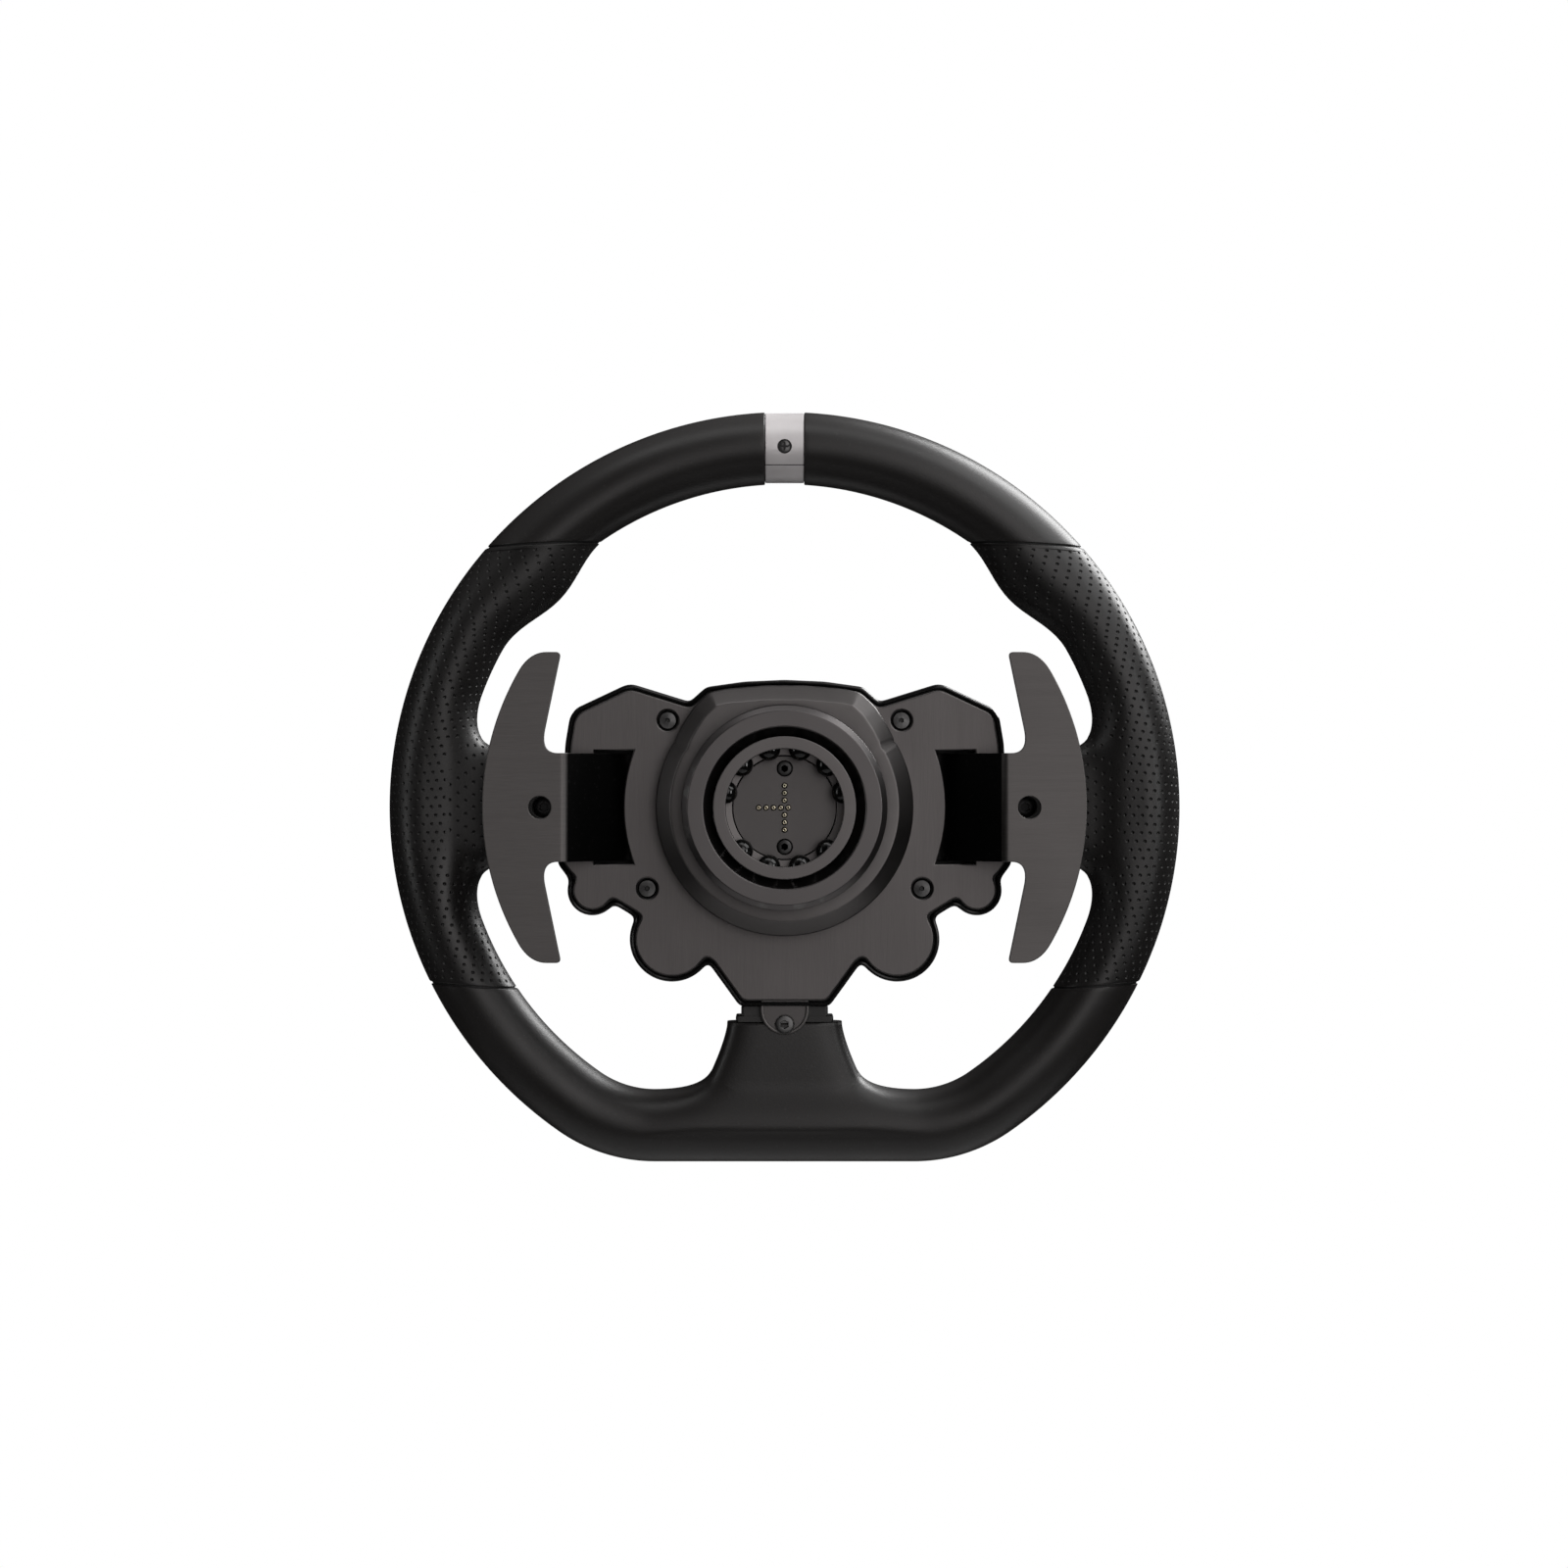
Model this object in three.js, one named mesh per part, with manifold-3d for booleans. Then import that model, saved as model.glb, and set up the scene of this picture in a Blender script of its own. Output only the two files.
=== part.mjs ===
// A D-shaped racing wheel with a ball-lock quick release, paddles, grips and a driver-side control panel.
// Millimetres. +Z points to 12 o'clock, -Y to the wheel base and +Y to the driver.
// The origin is on the steering axis, in the rear face of the quick-release sleeve.
import * as THREE from "three";
import { LoftGeometry } from "three/addons/geometries/LoftGeometry.js";
import { mergeVertices } from "three/addons/utils/BufferGeometryUtils.js";
import Module from "manifold-3d";

const wasm = await Module();
wasm.setup();
const { cos, sin, sqrt, PI } = Math;
const rad = THREE.MathUtils.degToRad;
const at = (x, z) => new THREE.Vector2(x, z);

// Clearances
const GAP = 0.3; // between parts that touch
const RUNNING = 0.25; // round parts that turn or slide
const CHANNEL = 0.5; // round the armature inside the grips and housings

// Rim and its armature
const RIM_RADIUS = 140;
const RIM_WIDTH = 25.6;
const RIM_DEPTH = 29;
const RIM_Y = 58;
const FLAT_DROP = 125.6; // steering axis to the outside of the flat bottom
const CORNER_RADIUS = 59.7;
const PLATE_WIDTH = 12;
const PLATE_THICKNESS = 5;
const HUB_DISC_RADIUS = 40;
const WIRE_HOLE_RADIUS = 12;
const SIDE_SPOKE_HALF = 14;
const BOTTOM_SPOKE_HALF = 10.5;

// Joints between the grips, as clock angles at the inside and the outside of the rim
const UPPER_JOINT = { inner: 34.9, outer: 49 };
const LOWER_JOINT = { inner: 124, outer: 116.3 };
const GROOVE = 0.8;
const THUMB_SWELL = 6;
const THUMB_CLOCK = 47;
const THUMB_SPAN = 14;

// Marker band at 12 o'clock
const MARKER_HALF = 6.8;
const MARKER_INSET = 0.7;
const MARKER_SPLIT = 5.4; // height of the inner piece
const MARKER_SCREW_DEPTH = 13.1; // inside the rim's outside
const MARKER_SCREW_RADIUS = RIM_RADIUS - MARKER_SCREW_DEPTH;
const MARKER_HEAD_SINK = 0.6;
const SMALL_HEAD_RADIUS = 2.3;
const SMALL_HEAD = 2; // its height
const SMALL_SOCKET = 1;

// Stubs where the grips meet the side spokes, and the fairing over the bottom spoke
const STUB_END = 82;
const STUB_HALF = 17.5;
const STUB_DEPTH = 17;
const STUB_FLARE = 32.5;
const STUB_FLARE_BEND = 2.2; // how late the flare widens
const STUB_SINK = 4; // the stub's foot stays this far inside the rim's depth
const FAIRING_TOP = 76;
const FAIRING_HALF = 20.3;
const FAIRING_FOOT = 36.5;
const FAIRING_BEND = 1.4;
const FAIRING_DEPTH = 24;
const NECK_HALF = 15.3;
const NECK_STEP_HALF = 17.2;
const NECK_STEP = 2;
const NECK_DEPTH = 19;
const NECK_LEDGE = 0.8;

// Tab over the top of the bottom spoke
const TAB = { radius: 8.6, z: -71.5, rear: 45.4, thickness: 2.6, screwZ: -76.4, head: 3.1, inset: 1.5 };
const TAB_FRONT = TAB.rear + TAB.thickness;
const TAB_OPENING = TAB.rear - 5;
const TAB_SOCKET = 1.5;

// Hub casing: the right half of its outline, from the bottom up
const REAR_Y = 44;
const SPLIT_Y = 58;
const FRONT_Y = 71;
const HUB_BOTTOM = 70;
const HUB_CROWN = 44.8;
const HUB_HALF = [
  at(15.8, -HUB_BOTTOM),
  at(26.5, -55.2),
  at(52.6, -38.7),
  at(59.2, -34.7),
  at(76, -25),
  at(79.8, -20),
  at(79.8, -8),
  at(77.2, 20.4),
  at(77.2, 22),
  at(75.6, 31.6),
  at(73.4, 34.8),
  at(56, 43),
  at(53.4, 43.3),
  at(33.4, 37.1),
  at(27.6, 42.3),
  at(14, 44.2),
  at(0, HUB_CROWN),
];
const LARGE_LOBE = { x: 39.6, z: -46.5, radius: 14.9 };
const SMALL_LOBE = { x: 67.6, z: -29.3, radius: 8.8 };
const WALL = 2.4;
const LIP = 1.1;
const REAR_PLATE = 2.5;
const FLOOR = 2.2;
const SLOT_HALF = 20;
const SLOT_OUTER = 67;
const SLOT_ARC = 56.7;

// Screws that close the casing, with round recesses in the rear plate
const CASE_SCREWS = [
  { side: "upper", x: 41.1, z: 30.5 },
  { side: "lower", x: 48.3, z: -28.6 },
];
const RECESS_RADIUS = 3.65;
const SHANK_RADIUS = 1.5;
const HEAD_EDGE = 0.5;
const POST_RADIUS = 3.4;
const CASE_HEAD = 1.9; // height
const CASE_SOCKET = 1.4;

// Screws through the side spokes
const SPOKE_HEAD_RADIUS = 3.3;
const SPOKE_HEAD = 3.5;
const SPOKE_SOCKET = 1.5;
const SCREW_ACCESS_RADIUS = SPOKE_HEAD_RADIUS + CHANNEL;

// Quick release
const FLANGE_RADIUS = 45;
const FLANGE_SHOULDER = at(32.1, 34.7);
const FLANGE_CORNER = at(26.1, 40.4);
const FLANGE_CROWN = 42.6;
const FLANGE_CROWN_EASE = 0.55; // the arch falls this far halfway to the corner
const FLANGE_REAR_Y = 28;
const FLANGE_CHAMFER = 5.2;
const FLANGE_SEAT = 0.3;
const SPIGOT_RADIUS = 33.4;
const CHAMBER_RADIUS = 33.7;
const CHAMBER_FLOOR_Y = 39;
const SLEEVE_BORE = 20.25;
const SLEEVE_RADIUS = 24.5;
const SLEEVE_FLANGE_RADIUS = 32;
const SOCKET_DEPTH = 10;
const COLLAR_RADIUS = 35.2;
const COLLAR_REAR_Y = 0.8;
const COLLAR_LENGTH = 20;
const COLLAR_TRAVEL = 6;
const COLLAR_LAND = 24.8;
const COLLAR_MOUTH = 27.6;
const SKIRT_LENGTH = 10;
const SKIRT_GAP = 0.75;
const SKIRT_RADIUS = CHAMBER_RADIUS - SKIRT_GAP;
const SKIRT_WALL = 2.6;
const COLLAR_LIP = 1.6; // the rise of the rear edge round the mouth
const COLLAR_CHAMFER = 2.2;
const COLLAR_WAIST = 1.6; // how far the grip sinks in halfway along
const COLLAR_RIM = 2;
const COLLAR_EDGE = 0.1;
const SHOULDER_Y = 12;
const BALL_RADIUS = 3.97;
const BALL_Y = 6;
const BALL_SEAT = 20.8;
const BALL_TRAVEL = 2.7;
const BALL_CLOCKS = [15, 45, 75, 135, 165, 195, 225, 285, 315, 345];
const SPRING_WIRE = 0.9;
const SPRING_TURNS = 4;

// Contact plate with its pins
const CONTACT_RADIUS = 17.3;
const CONTACT_THICKNESS = 3.5;
const CONTACT_SHOULDER = 11.2;
const CONTACT_SCREW_Z = 13.5;
const CONTACT_EDGE = 0.4;
const CONTACT_RECESS_RADIUS = 2.7;
const CONTACT_RECESS = 2.2;
const CONTACT_HEAD_RADIUS = 2.5;
const CONTACT_HEAD = 1.7;
const CONTACT_SOCKET = 1.1;
const CONTACT_SCREW_REACH = 6; // past the plate, into the sleeve
const PIN_PITCH = 2.54;
const PIN_RADIUS = 0.6;
const PIN_PROUD = 1.3;
const PIN_TRAVEL = 1;
const PIN_CARRIER_SET = 0.3; // the carrier's face below the plate's
const PINS_ACROSS = [-3.5, -2.5, -1.5, -0.5, 0.5];
const PINS_UPRIGHT = [-3, -2, -1, 1, 2, 3];

// Paddles, each bent from one sheet
const SHEET = 2.5;
const BLADE_Y = 24;
const BLADE_ARC = 95.2;
const BLADE_REACH = 105;
const BLADE_TIP = 54;
const BLADE_TIP_INNER = 77.8;
const BLADE_TIP_EASE = 0.055; // radians of the arc that the round corner takes
const BLADE_CORNER = 4.5;
const BLADE_WAIST = 83.6;
const BLADE_WAIST_Z = 27;
const BLADE_FILLET = 5;
const BLADE_FILLET_PULL = at(-0.6, 1.5);
const PADDLE_ROOT_HALF = 18.9;
const BEND_X = 76.5;
const FOOT_X = 56;
const PIVOT_X = 49;
const PIVOT_Y = 51.9;
const PIVOT_RADIUS = 1.4;
const BARREL_RADIUS = 2.7;
const PIVOT_EAR = 2.5;
const EAR_RADIUS = BARREL_RADIUS + 0.4;
const PIVOT_PLAY = 0.05;
const PADDLE_HOLE_X = 85;
const PADDLE_HOLE_RADIUS = 3.9;
const SWITCH = { x: 54.5, half: 3, rear: 55, front: 61, height: 6.4, offset: 0.8 };
const PLUNGER = { half: 0.8, rear: 54, low: 1, high: 2.8 };

// Driver side
const BUTTON_RADIUS = 4.6;
const BUTTON_PROUD = 3.5;
const BUTTON_FLANGE = 1.2;
const CONTROL_FOOT = 3; // thickness of a control's flange below the casing wall
const BUTTON_EDGE = 0.6;
const EAR_BUTTONS = [
  { place: "inner", x: 52, z: 31 },
  { place: "outer", x: 66.5, z: 27 },
];
const ENCODER = { x: 62, z: 4, radius: 7.5, height: 11.5, shaft: 3, foot: 4.5, edge: 1 };
const STICK_Y = 66;
const STICK_CAP = { radius: 8, rise: 4, lip: 0.8, rim: 2.2, height: 3, dish: 1.8 };
const STICK_BALL = 4.2;
const STICK_NECK = 3;
const STICK_SHAFT = 2.8;
const STICK_SOCKET = 10.2;
const GIMBAL_RADIUS = 9.5;
const GIMBAL_BORE = 6.8;
const GIMBAL_HALF = 1.6;
const TRUNNION = 0.8;
const CAP_RADIUS = 17;
const CAP_HEIGHT = 3;
const CAP_EDGE = 1.2;
const LIGHT_BAR = { half: 24, z: 35.5, height: 5, depth: 3, proud: 0.8 };
const BOARD = { half: 36, low: -24, high: 29, y: 63.2, thickness: 1.6 };

// Derived sizes of the rim
const CORNER_Z = CORNER_RADIUS - FLAT_DROP;
const CORNER_X = sqrt((RIM_RADIUS - CORNER_RADIUS) ** 2 - CORNER_Z ** 2);
const CORNER_CLOCK = 90 + THREE.MathUtils.radToDeg(Math.atan2(-CORNER_Z, CORNER_X));
const RIM_INNER = RIM_RADIUS - RIM_WIDTH;
const RIM_CENTRE = RIM_RADIUS - RIM_WIDTH / 2;
const PLATE_REAR = RIM_Y - PLATE_THICKNESS / 2;
const PLATE_FRONT = RIM_Y + PLATE_THICKNESS / 2;
const MARKER_HEAD_Y = RIM_Y - RIM_DEPTH / 2 + MARKER_INSET + MARKER_HEAD_SINK;
const SOCKET_REAR = PLATE_FRONT + CHANNEL + 1;
const FLOOR_REAR = REAR_Y + REAR_PLATE + GAP;
const FLOOR_FRONT = FLOOR_REAR + FLOOR;
const INNER_WALL = FRONT_Y - WALL;
const CONTACT_Y = SOCKET_DEPTH + 1.5;

// ---- Solids ----

// A manifold solid of a closed three.js geometry.
function solid(geometry) {
  geometry.deleteAttribute("normal");
  geometry.deleteAttribute("uv");
  const merged = mergeVertices(geometry, 1e-4);
  const mesh = new wasm.Mesh({
    numProp: 3,
    vertProperties: new Float32Array(merged.attributes.position.array),
    triVerts: new Uint32Array(merged.index.array),
  });
  return new wasm.Manifold(mesh);
}

const join = (first, ...rest) => rest.reduce((whole, piece) => whole.add(piece), first);
const cut = (first, ...rest) => rest.reduce((whole, piece) => whole.subtract(piece), first);

function geometryOf(whole) {
  const mesh = whole.getMesh();
  const geometry = new THREE.BufferGeometry();
  geometry.setAttribute("position", new THREE.BufferAttribute(mesh.vertProperties, 3));
  geometry.setIndex(new THREE.BufferAttribute(mesh.triVerts, 1));
  return geometry;
}

// A flat outline in X and Z, made thick along Y.
function slab(shape, yFrom, yTo, curveSegments = 12) {
  const options = { depth: yTo - yFrom, bevelEnabled: false, curveSegments };
  return solid(new THREE.ExtrudeGeometry(shape, options).rotateX(PI / 2).translate(0, yTo, 0));
}

function block(xFrom, xTo, yFrom, yTo, zFrom, zTo) {
  const box = new THREE.BoxGeometry(xTo - xFrom, yTo - yFrom, zTo - zFrom);
  return solid(box.translate((xFrom + xTo) / 2, (yFrom + yTo) / 2, (zFrom + zTo) / 2));
}

// A round bar along Y, at x and z.
function rod(radius, yFrom, yTo, x = 0, z = 0, sides = 12) {
  const bar = new THREE.CylinderGeometry(radius, radius, yTo - yFrom, sides);
  return solid(bar.translate(x, (yFrom + yTo) / 2, z));
}

// A round bar along Z or X, centred at a point.
function pinAlong(axis, radius, length, x, y, z, sides = 12) {
  const bar = new THREE.CylinderGeometry(radius, radius, length, sides);
  if (axis === "z") bar.rotateX(PI / 2);
  else bar.rotateZ(PI / 2);
  return solid(bar.translate(x, y, z));
}

// A profile of [radius, y] corners turned round an axis along Y.
function turned(profile, sides = 32, x = 0, z = 0) {
  const points = profile.map(([radius, y]) => at(radius, y));
  if (profile[0][0] > 0) points.push(points[0].clone());
  return solid(new THREE.LatheGeometry(points, sides).translate(x, 0, z));
}

// A closed polygon moved inwards, with its corners kept sharp. Its points run counterclockwise.
function inset(points, distance) {
  return points.map((point, i) => {
    const before = points[(i + points.length - 1) % points.length];
    const after = points[(i + 1) % points.length];
    const one = point.clone().sub(before).normalize();
    const two = after.clone().sub(point).normalize();
    const inwards = at(-one.y - two.y, one.x + two.x).normalize();
    return point.clone().addScaledVector(inwards, distance / (inwards.y * one.x - inwards.x * one.y));
  });
}

const mirrored = (half) => {
  const left = half.filter((p) => p.x > 0).map((p) => at(-p.x, p.y));
  return [...half, ...left.reverse()];
};

// ---- Rim ----

const clockPoint = (clock, radius) => at(radius * sin(rad(clock)), radius * cos(rad(clock)));

// The rim's line moved outwards by an offset: a circle, two corner arcs and the flat.
function rimLoop(offset) {
  const half = [];
  const arc = (x, z, radius, from, to, steps) => {
    for (let i = 0; i <= steps; i++) {
      const place = clockPoint(THREE.MathUtils.lerp(from, to, i / steps), radius);
      half.push(at(x + place.x, z + place.y));
    }
  };
  arc(CORNER_X, CORNER_Z, CORNER_RADIUS - RIM_WIDTH / 2 + offset, 180, CORNER_CLOCK, 4);
  arc(0, 0, RIM_CENTRE + offset, CORNER_CLOCK, 0, 20);
  half[half.length - 1].x = 0;
  return new THREE.Shape(mirrored(half));
}

const ring = (halfWidth, yFrom, yTo) =>
  cut(slab(rimLoop(halfWidth), yFrom, yTo), slab(rimLoop(-halfWidth), yFrom - 1, yTo + 1));

// The armature's plan, widened and thickened by a clearance for the channels that hold it.
function armature(clearance) {
  const rear = PLATE_REAR - clearance;
  const front = PLATE_FRONT + clearance;
  const half = PLATE_WIDTH / 2 + clearance;
  const side = SIDE_SPOKE_HALF + clearance;
  const bottom = BOTTOM_SPOKE_HALF + clearance;
  return join(
    ring(half, rear, front),
    block(-RIM_CENTRE, RIM_CENTRE, rear, front, -side, side),
    block(-bottom, bottom, rear, front, -FLAT_DROP + RIM_WIDTH / 2, 0),
    rod(HUB_DISC_RADIUS + clearance, rear, front, 0, 0, 32),
  );
}

const channel = armature(CHANNEL);

function rimPlate() {
  const screwHole = SHANK_RADIUS + RUNNING;
  return cut(
    armature(0),
    rod(WIRE_HOLE_RADIUS, PLATE_REAR - 1, PLATE_FRONT + 1),
    rod(screwHole, PLATE_REAR - 1, PLATE_FRONT + 1, PADDLE_HOLE_X, 0, 12),
    rod(screwHole, PLATE_REAR - 1, PLATE_FRONT + 1, -PADDLE_HOLE_X, 0, 12),
    rod(screwHole, PLATE_REAR - 1, PLATE_FRONT + 1, 0, MARKER_SCREW_RADIUS, 12),
  );
}

// One section of a grip, oval between a point inside and a point outside the rim.
function gripSection(inner, outer, depth = RIM_DEPTH) {
  const section = [];
  const sides = 16;
  for (let i = 0; i < sides; i++) {
    const turn = (2 * PI * i) / sides;
    const place = inner.clone().lerp(outer, (1 + cos(turn)) / 2);
    section.push(new THREE.Vector3(place.x, RIM_Y + (depth / 2) * sin(turn), place.y));
  }
  return section;
}

// A skin through sections, each turned to run counterclockwise as seen from the loft's end.
function loft(sections) {
  const [first, next] = sections;
  const third = Math.floor(first.length / 3);
  const one = first[third].clone().sub(first[0]);
  const two = first[2 * third].clone().sub(first[0]);
  const travel = next[0].clone().add(next[third]).add(next[2 * third]);
  travel.sub(first[0]).sub(first[third]).sub(first[2 * third]);
  const runsBack = one.cross(two).dot(travel) < 0;
  const turnedSections = runsBack ? sections.map((section) => [...section].reverse()) : sections;
  const skin = new LoftGeometry(turnedSections, { capStart: true, capEnd: true });
  return solid(new THREE.BufferGeometry().copy(skin));
}

// Evenly spaced stations between two pairs of clock angles, with a swell on the inside.
function arcStations(from, to, steps, swell = () => 0) {
  const stations = [];
  for (let i = 0; i <= steps; i++) {
    const inner = THREE.MathUtils.lerp(from.inner, to.inner, i / steps);
    const outer = THREE.MathUtils.lerp(from.outer, to.outer, i / steps);
    stations.push([clockPoint(inner, RIM_INNER - swell(inner)), clockPoint(outer, RIM_RADIUS)]);
  }
  return stations;
}

// A joint's clock angles, moved along the rim by a distance.
function moved(joint, distance) {
  const turn = THREE.MathUtils.radToDeg(distance / RIM_CENTRE);
  return { inner: joint.inner + turn, outer: joint.outer + turn };
}

const gripOf = (stations) => loft(stations.map(([inner, outer]) => gripSection(inner, outer)));

function topGrip() {
  const side = MARKER_HALF + GAP;
  const start = {
    inner: THREE.MathUtils.radToDeg(Math.asin(side / RIM_INNER)),
    outer: THREE.MathUtils.radToDeg(Math.asin(side / RIM_RADIUS)),
  };
  return cut(gripOf(arcStations(start, moved(UPPER_JOINT, -GROOVE / 2), 9)), channel);
}

const thumbSwell = (clock) => {
  const off = (clock - THUMB_CLOCK) / THUMB_SPAN;
  return Math.abs(off) < 1 ? THUMB_SWELL * cos((off * PI) / 2) ** 2 : 0;
};

// A section across a side spoke's stub, a rounded rectangle in Y and Z at one x.
function stubSection(x, halfHeight, depth) {
  const section = [];
  const sides = 16;
  const soft = (value) => Math.sign(value) * Math.abs(value) ** 0.6;
  for (let i = 0; i < sides; i++) {
    const turn = (2 * PI * (i + 0.5)) / sides;
    section.push(new THREE.Vector3(x, RIM_Y + (depth / 2) * soft(cos(turn)), halfHeight * soft(sin(turn))));
  }
  return section;
}

function sideStub() {
  const steps = 5;
  const sections = [];
  for (let i = 0; i <= steps; i++) {
    const along = i / steps;
    const x = THREE.MathUtils.lerp(STUB_END, RIM_CENTRE - PLATE_WIDTH / 2, along);
    const halfHeight = STUB_HALF + (STUB_FLARE - STUB_HALF) * along ** STUB_FLARE_BEND;
    sections.push(stubSection(x, halfHeight, STUB_DEPTH + (RIM_DEPTH - STUB_SINK - STUB_DEPTH) * along));
  }
  return loft(sections);
}

function handle() {
  const from = moved(UPPER_JOINT, GROOVE / 2);
  const to = moved(LOWER_JOINT, -GROOVE / 2);
  return cut(
    join(gripOf(arcStations(from, to, 18, thumbSwell)), sideStub()),
    channel,
    rod(SCREW_ACCESS_RADIUS, RIM_Y - STUB_DEPTH, PLATE_REAR, PADDLE_HOLE_X, 0, 16),
  );
}

function bottomStations() {
  const start = moved(LOWER_JOINT, GROOVE / 2);
  const half = arcStations(start, { inner: CORNER_CLOCK, outer: CORNER_CLOCK }, 6);
  const steps = 6;
  for (let i = 1; i <= steps; i++) {
    const turn = rad(THREE.MathUtils.lerp(CORNER_CLOCK, 180, i / steps));
    const point = (radius) => at(CORNER_X + radius * sin(turn), CORNER_Z + radius * cos(turn));
    half.push([point(CORNER_RADIUS - RIM_WIDTH), point(CORNER_RADIUS)]);
  }
  const left = half.map(([inner, outer]) => [at(-inner.x, inner.y), at(-outer.x, outer.y)]);
  return [...half, ...left.reverse()];
}

// The fairing over the bottom spoke, which widens down to the flat of the rim.
function fairing() {
  const steps = 5;
  const sections = [];
  const foot = FLAT_DROP - RIM_WIDTH / 2;
  for (let i = 0; i <= steps; i++) {
    const along = i / steps;
    const z = -THREE.MathUtils.lerp(FAIRING_TOP, foot, along);
    const half = FAIRING_HALF + (FAIRING_FOOT - FAIRING_HALF) * along ** FAIRING_BEND;
    const across = stubSection(0, half, FAIRING_DEPTH);
    sections.push(across.map((p) => new THREE.Vector3(p.z, p.y, z)));
  }
  return loft(sections);
}

function bottomGrip() {
  return cut(
    join(gripOf(bottomStations()), fairing()),
    channel,
    tabPlan(GAP, TAB_OPENING, TAB_FRONT + GAP),
    rod(SHANK_RADIUS + RUNNING, TAB_FRONT, PLATE_REAR, 0, TAB.screwZ, 12),
  );
}

function markerBand() {
  const inner = RIM_INNER + MARKER_INSET;
  const outer = RIM_RADIUS - MARKER_INSET;
  const depth = RIM_DEPTH - 2 * MARKER_INSET;
  const ends = [-MARKER_HALF, MARKER_HALF].map((x) => gripSection(at(x, inner), at(x, outer), depth));
  return cut(loft(ends), channel);
}

function markerHalf(isOuter) {
  const split = RIM_INNER + MARKER_INSET + MARKER_SPLIT;
  const low = isOuter ? split + GAP / 2 : RIM_INNER - RIM_WIDTH;
  const high = isOuter ? RIM_RADIUS + RIM_WIDTH : split - GAP / 2;
  const side = MARKER_HALF + 1;
  const half = markerBand().intersect(block(-side, side, RIM_Y - RIM_DEPTH, RIM_Y + RIM_DEPTH, low, high));
  const rear = RIM_Y - RIM_DEPTH / 2;
  const seat = MARKER_HEAD_Y + SMALL_HEAD + RUNNING;
  return cut(
    half,
    rod(SMALL_HEAD_RADIUS + RUNNING, rear - 1, seat, 0, MARKER_SCREW_RADIUS, 16),
    rod(SHANK_RADIUS + RUNNING, rear, PLATE_REAR, 0, MARKER_SCREW_RADIUS, 12),
  );
}

// A screw along Y with a chamfered head and a hex socket, its head towards -Y.
function screw(headRadius, headY, headHeight, tipY, x, z, socket) {
  const head = turned(
    [
      [0, headY],
      [headRadius - HEAD_EDGE, headY],
      [headRadius, headY + HEAD_EDGE],
      [headRadius, headY + headHeight],
      [SHANK_RADIUS, headY + headHeight],
      [SHANK_RADIUS, tipY],
      [0, tipY],
    ],
    12, x, z,
  );
  return cut(head, rod(socket, headY - 1, headY + headHeight / 2, x, z, 6));
}

// ---- Casing ----

const hubOutline = mirrored(HUB_HALF);

// The casing's plan moved in by a distance, with its lobes, from one y to another.
function hubSolid(distance, yFrom, yTo) {
  const lobes = [LARGE_LOBE, SMALL_LOBE].flatMap((lobe) =>
    [-1, 1].map((side) => rod(lobe.radius - distance, yFrom, yTo, side * lobe.x, lobe.z, 20)),
  );
  return join(slab(new THREE.Shape(inset(hubOutline, distance)), yFrom, yTo), ...lobes);
}

const bothSides = (make) => [make(1), make(-1)];

// The opening that a paddle's root goes through, closed inwards by an arc round the hub.
function paddleSlot(side, yFrom, yTo) {
  const opening = block(
    Math.min(side * SLOT_ARC * 0.9, side * SLOT_OUTER),
    Math.max(side * SLOT_ARC * 0.9, side * SLOT_OUTER),
    yFrom, yTo, -SLOT_HALF, SLOT_HALF,
  );
  return cut(opening, rod(SLOT_ARC, yFrom - 1, yTo + 1, 0, 0, 40));
}

function rearPlate() {
  const recesses = CASE_SCREWS.flatMap((place) =>
    bothSides((side) => rod(RECESS_RADIUS, REAR_Y - 1, FLOOR_REAR + 1, side * place.x, place.z, 16)),
  );
  return cut(
    hubSolid(LIP + GAP, REAR_Y, REAR_Y + REAR_PLATE),
    rod(SPIGOT_RADIUS + GAP, REAR_Y - 1, REAR_Y + REAR_PLATE + 1, 0, 0, 32),
    ...bothSides((side) => paddleSlot(side, REAR_Y - 1, REAR_Y + REAR_PLATE + 1)),
    ...recesses,
  );
}

// Ears inside the rear housing that carry a paddle's pivot pin.
function pivotEars(side) {
  const radius = EAR_RADIUS;
  const x = side * PIVOT_X;
  const ear = (from) => {
    const length = PIVOT_EAR;
    const z = from + Math.sign(from) * (length / 2);
    return join(
      pinAlong("z", radius, length, x, PIVOT_Y, z, 16),
      block(x - radius, x + radius, FLOOR_FRONT - 0.5, PIVOT_Y, z - length / 2, z + length / 2),
    );
  };
  return join(ear(SLOT_HALF), ear(-SLOT_HALF));
}

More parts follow.
